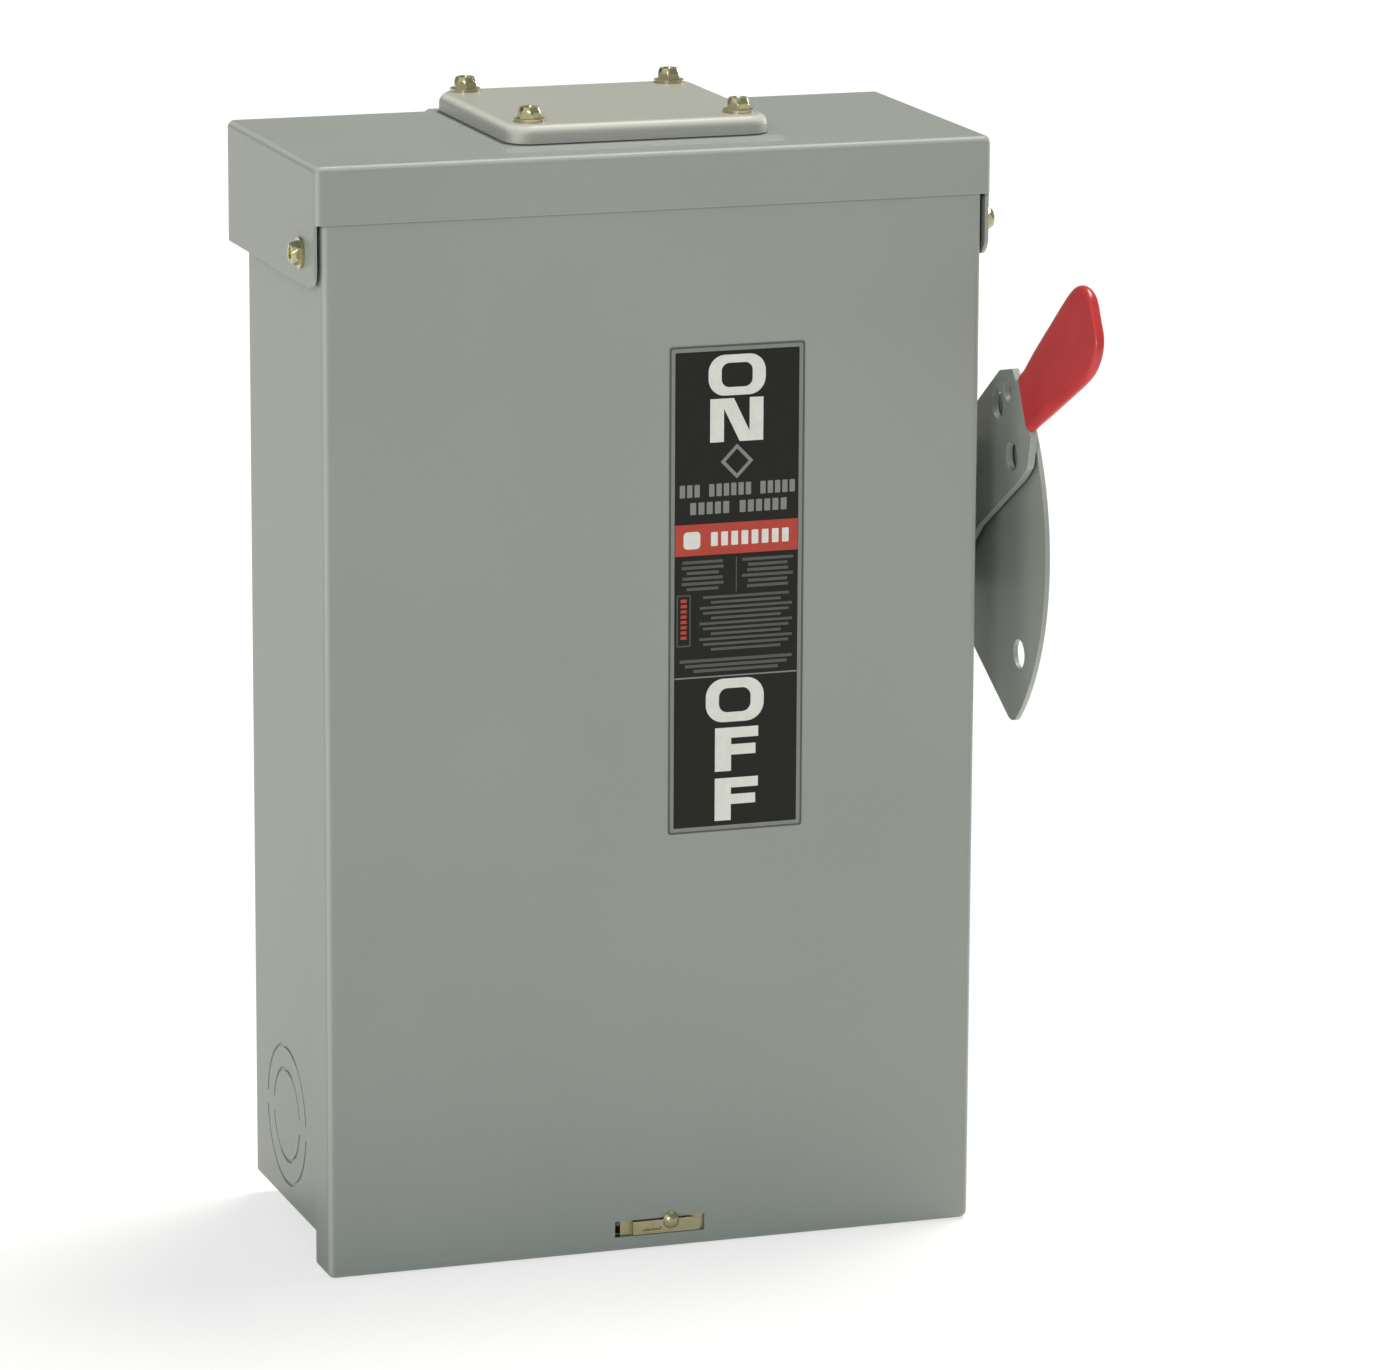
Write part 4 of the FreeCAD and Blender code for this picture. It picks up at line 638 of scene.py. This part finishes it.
# %% Label sheet and fields
SHEET_TOP = -PRINT_DROP
SHEET_END = TOP - label_low.z
LABEL_HALF = (label_high.x - label_low.x) / 2
sheet_face = cover_front - SHEET_DEPTH
field_face = sheet_face - FIELD_DEPTH
label_sheet = film("label_sheet", [bar(-LABEL_HALF, LABEL_HALF, SHEET_TOP, SHEET_END, 1.2)],
                   cover_front, SHEET_DEPTH, INKS["grey"])
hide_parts("label_plate")
RIM_INSET = 0.8
FIELD_INSET = 2.4


def frame_line(inset, radius):
    """The label's outline, drawn a distance in from its edge."""
    side = LABEL_HALF - inset
    return rounded(*across(-side, side, SHEET_TOP + inset, SHEET_END - inset), radius)


outer_line = frame_line(RIM_INSET, 1.0)
inner_line = frame_line(FIELD_INSET, 0.4)
film("label_rim", [[frame_line(0, 1.2), outer_line]], sheet_face, FIELD_DEPTH, INKS["dim"])
film("label_field", [[inner_line]], sheet_face, FIELD_DEPTH, FINISHES["label_print"])
print("label", round(LABEL_HALF * 2, 1), "x", round(SHEET_END - SHEET_TOP, 1), "mm")

# %% [markdown]
# The letters are a wide bold face without serifs. An O is one rounded outline inside
# another, and N and F are straight-sided, so each is a function of its box and its
# stroke, and the same F serves twice.

# %% Letters


def letter_o(left, right_side, top, bottom, stroke, thin):
    """A squarish O: its upright stroke and its thinner top and bottom."""
    rim = rounded(*across(left, right_side, top, bottom), (bottom - top) * 0.42, steps=10)
    hole = rounded(*across(left + stroke, right_side - stroke, top + thin, bottom - thin),
                   (bottom - top) * 0.20, steps=8)
    return [rim, hole]


def letter_n(left, right_side, top, bottom, stroke):
    """An N whose diagonal runs from the top left to the bottom right corner."""
    (x0, x1), (z0, z1) = across(left, right_side, top, bottom)
    slant = (x1 - x0) * 0.444
    notch = (z1 - z0) * 0.77
    return [[(x0, z0), (x0 + stroke, z0), (x0 + stroke, z0 + notch), (x1 - slant, z0), (x1, z0),
             (x1, z1), (x1 - stroke, z1), (x1 - stroke, z1 - notch), (x0 + slant, z1), (x0, z1)]]


def letter_f(left, right_side, top, bottom, stroke, thin):
    """An F with a shorter middle arm."""
    (x0, x1), (z0, z1) = across(left, right_side, top, bottom)
    tongue = z1 - (z1 - z0) * 0.39
    short = (x1 - x0) * 0.06
    return [[(x0, z0), (x0 + stroke, z0), (x0 + stroke, tongue - thin), (x1 - short, tongue - thin),
             (x1 - short, tongue), (x0 + stroke, tongue), (x0 + stroke, z1 - thin), (x1, z1 - thin),
             (x1, z1), (x0, z1)]]


letters = [letter_o(-12.4, 12.1, 3.9, 20.7, 5.6, 3.4),
           letter_n(-11.6, 11.2, 21.9, 39.8, 5.9),
           letter_o(-12.9, 12.2, 138.4, 156.7, 5.7, 4.1),
           letter_f(-8.8, 9.9, 159.1, 177.4, 7.0, 4.4),
           letter_f(-8.8, 9.9, 180.3, 198.2, 7.0, 4.2)]
film("label_letters", letters, field_face, INK_DEPTH, INKS["white"])
print("letters:", len(letters))

# %% [markdown]
# Between the two words there is fine print and a coloured band on the real label. They
# are kept as shapes only: bars for the small print, rows of blank blocks for the larger
# words, a plain band and a small plain diamond, all worked out by loops.

# %% Rows of bars and blocks


def rows(left, right_side, top, bottom, count, gap, phase):
    """Rows of bars of uneven length, like set lines of small print."""
    pitch = (bottom - top) / count
    lines = []
    for line in range(count):
        short = 0.86 + 0.14 * math.sin(phase + 2.1 * line)
        half = (right_side - left) / 2 * short
        middle = (left + right_side) / 2
        low = top + line * pitch
        lines.append(bar(middle - half, middle + half, low, low + pitch * (1 - gap), 0.15))
    return lines


def words(left, right_side, top, bottom, counts, body=0.72):
    """A line of blank blocks in groups, with a block's gap between the groups."""
    pitch = (right_side - left) / (sum(counts) + len(counts) - 2 + body)
    line = []
    step = 0
    for count in counts:
        for _ in range(count):
            start = left + step * pitch
            line.append(bar(start, start + body * pitch, top, bottom, 0.3))
            step += 1
        step += 1
    return line


print("blocks in a line of two groups:", len(words(0, 50, 0, 5, (5, 6))))

# %% Emblem and titles
EMBLEM_Z = TOP - 48.0
EMBLEM_HALF_WIDE, EMBLEM_HALF_HIGH = 7.0, 7.2
EMBLEM_HOLE = 0.72


def emblem(share):
    """A diamond round the emblem's centre, a share of its full size."""
    wide, high = EMBLEM_HALF_WIDE * share, EMBLEM_HALF_HIGH * share
    return [(MIDDLE, EMBLEM_Z + high), (MIDDLE - wide, EMBLEM_Z),
            (MIDDLE, EMBLEM_Z - high), (MIDDLE + wide, EMBLEM_Z)]


film("label_emblem", [[emblem(1.0), emblem(EMBLEM_HOLE)]], field_face, INK_DEPTH, INKS["grey"])
titles = words(-24.5, 25.0, 56.9, 62.1, (3, 6, 5)) + words(-20.0, 21.5, 64.3, 69.3, (5, 6))
film("label_titles", titles, field_face, INK_DEPTH, INKS["grey"])
print("title blocks:", len(titles))

# %% Coloured band
MARK_DEPTH = 0.02 * MM
film("label_band", [bar(-26.4, 26.4, 73.3, 86.3, 0.2)], field_face, INK_DEPTH, INKS["red"])
band_face = field_face - INK_DEPTH
badge = bar(-22.8, -15.6, 76.3, 83.5, 1.6)
film("label_band_marks", [badge] + words(-11.0, 22.5, 76.9, 82.7, (8,), 0.66), band_face,
     MARK_DEPTH, INKS["white"])
print("band face at", round(band_face, 5))

# %% Small print
small = (rows(-24.0, -5.0, 88.4, 101.8, 6, 0.45, 0.4) + rows(2.5, 24.5, 88.4, 101.8, 6, 0.45, 1.7)
         + [bar(-0.2, 0.2, 87.8, 102.2, 0.1)]
         + rows(-16.5, 25.0, 103.4, 127.4, 11, 0.50, 2.9) + rows(-25.0, 25.0, 129.6, 136.0, 3, 0.4, 0.9))
film("label_small_print", small, field_face, INK_DEPTH, INKS["dim"])
film("label_rule", [bar(-26.4, 26.4, 136.9, 137.5, 0.1)], field_face, INK_DEPTH, INKS["grey"])
tab_rim = rounded(*across(-25.6, -19.6, 102.4, 124.0), 0.5)
tab_hole = rounded(*across(-25.1, -20.1, 102.9, 123.5), 0.3)
film("label_tab_rim", [[tab_rim, tab_hole]], field_face, INK_DEPTH, INKS["dim"])
TAB_TOP, TAB_PITCH, TAB_MARK = 104.2, 2.2, 1.4
tab_starts = [TAB_TOP + TAB_PITCH * step for step in range(8)]
film("label_tab_marks", [bar(-23.9, -21.3, start, start + TAB_MARK, 0.2) for start in tab_starts],
     field_face, INK_DEPTH, INKS["red"])
print("small print shapes:", len(small) + len(tab_starts))

# %% [markdown]
# The grip is where the hand goes, so it is soft. The steel tang of the lever was dipped,
# which leaves a thick skin that rounds every corner and a small bead at the lip. A coarse
# cage under a subdivision surface gives that melted look better than a bevelled block. The
# cage is a row of rings along the grip, each as wide as the outline is there. The packed
# grip gives the place, and the two angles of the handle give the directions.

# %% Grip directions and sizes
RAISED = math.radians(42)
FLARE = math.radians(12)
outward = Vector((1, 0, 0))
lever_line = Vector((0, -math.cos(RAISED), math.sin(RAISED)))
LENGTHWISE = lever_line * math.cos(FLARE) + outward * math.sin(FLARE)
THROUGH = outward * math.cos(FLARE) - lever_line * math.sin(FLARE)
SIDEWAYS = THROUGH.cross(LENGTHWISE)

GRIP_LONG = 62.3
HALF_THICK = 2.7
BASE_HALF, BASE_DROP = 13.3, 3.3
END_HALF, END_DROP = 20.6, 0.5
END_ROUND = 13.6
SKEW = 0.16
print("grip points along", [round(value, 3) for value in LENGTHWISE])

# %% Rings of the grip


def grip_rings():
    """Rings of the cage: distance along, middle, half width and half thickness.

    The first few swell into the lip, and the last few close the round end.
    """
    straight = GRIP_LONG - END_ROUND
    rings = [(0.0, BASE_DROP, BASE_HALF - 0.9, HALF_THICK * 0.86),
             (0.6, BASE_DROP, BASE_HALF + 0.1, HALF_THICK * 1.04),
             (2.6, BASE_DROP, BASE_HALF + 0.2, HALF_THICK * 1.04),
             (4.6, BASE_DROP, BASE_HALF + 0.1, HALF_THICK * 0.95)]
    for share in (0.25, 0.5, 0.75, 1.0):
        rings.append((straight * share, BASE_DROP + (END_DROP - BASE_DROP) * share,
                      BASE_HALF + (END_HALF - BASE_HALF) * share, HALF_THICK))
    for degrees, fullness in ((25, 1.0), (45, 0.98), (62, 0.92), (78, 0.78), (90, 0.50)):
        angle = math.radians(degrees)
        rings.append((straight + END_ROUND * math.sin(angle), END_DROP,
                      END_HALF - END_ROUND * (1 - math.cos(angle)), HALF_THICK * fullness))
    return rings


print("rings:", len(grip_rings()))

# %% Skin of the grip


def dipped_grip():
    """A closed cage through the rings, smoothed by subdivision."""
    made = bmesh.new()
    loops = []
    for along, middle, half, thick in grip_rings():
        lip = min(1.6, half * 0.2)
        section = [(half, 0), (half - lip, thick), (half * 0.5, thick), (-half * 0.5, thick),
                   (lip - half, thick), (-half, 0), (lip - half, -thick), (-half * 0.5, -thick),
                   (half * 0.5, -thick), (half - lip, -thick)]
        loop = []
        for wide, deep in section:
            across_grip = middle + wide
            point = LENGTHWISE * (along - SKEW * across_grip) + SIDEWAYS * across_grip + THROUGH * deep
            loop.append(made.verts.new(point * MM))
        loops.append(loop)
    count = len(loops[0])
    for near, far in zip(loops, loops[1:]):
        for index in range(count):
            after = (index + 1) % count
            made.faces.new((near[index], near[after], far[after], far[index]))
    made.faces.new(loops[0])
    made.faces.new(loops[-1])
    bmesh.ops.recalc_face_normals(made, faces=made.faces)
    mesh = bpy.data.meshes.new("dipped_grip")
    made.to_mesh(mesh)
    made.free()
    for face in mesh.polygons:
        face.use_smooth = True
    mesh.materials.append(FINISHES["red_vinyl"].material)
    piece = bpy.data.objects.new("dipped_grip", mesh)
    scene.collection.objects.link(piece)
    smooth = piece.modifiers.new("melt", "SUBSURF")
    smooth.levels = smooth.render_levels = 3
    return piece


grip = dipped_grip()

# %% [markdown]
# The cage is centred on the packed grip, then moved in a little towards the box, so that
# the melted skin stays inside the packed model's own limits.

# %% Grip in place
INWARD = Vector((-0.6 * MM, 0, 0))
grip_low, grip_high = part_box("handle_grip")
corners = [vertex.co for vertex in grip.data.vertices]
cage_low = Vector([min(corner[axis] for corner in corners) for axis in range(3)])
cage_high = Vector([max(corner[axis] for corner in corners) for axis in range(3)])
shift = (grip_low + grip_high) / 2 - (cage_low + cage_high) / 2 + INWARD
for vertex in grip.data.vertices:
    vertex.co += shift
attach(grip, "handle")
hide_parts("handle_grip")
print("grip", [round(value / MM, 1) for value in cage_high - cage_low], "mm, packed",
      [round(value / MM, 1) for value in grip_high - grip_low], "mm")

# %% [markdown]
# Last, the visual model's own box is measured and kept beside the packed model's box, to
# show that nothing has grown.

# %% Sizes and finish
bpy.context.view_layer.update()
print("cad box", cad_box)
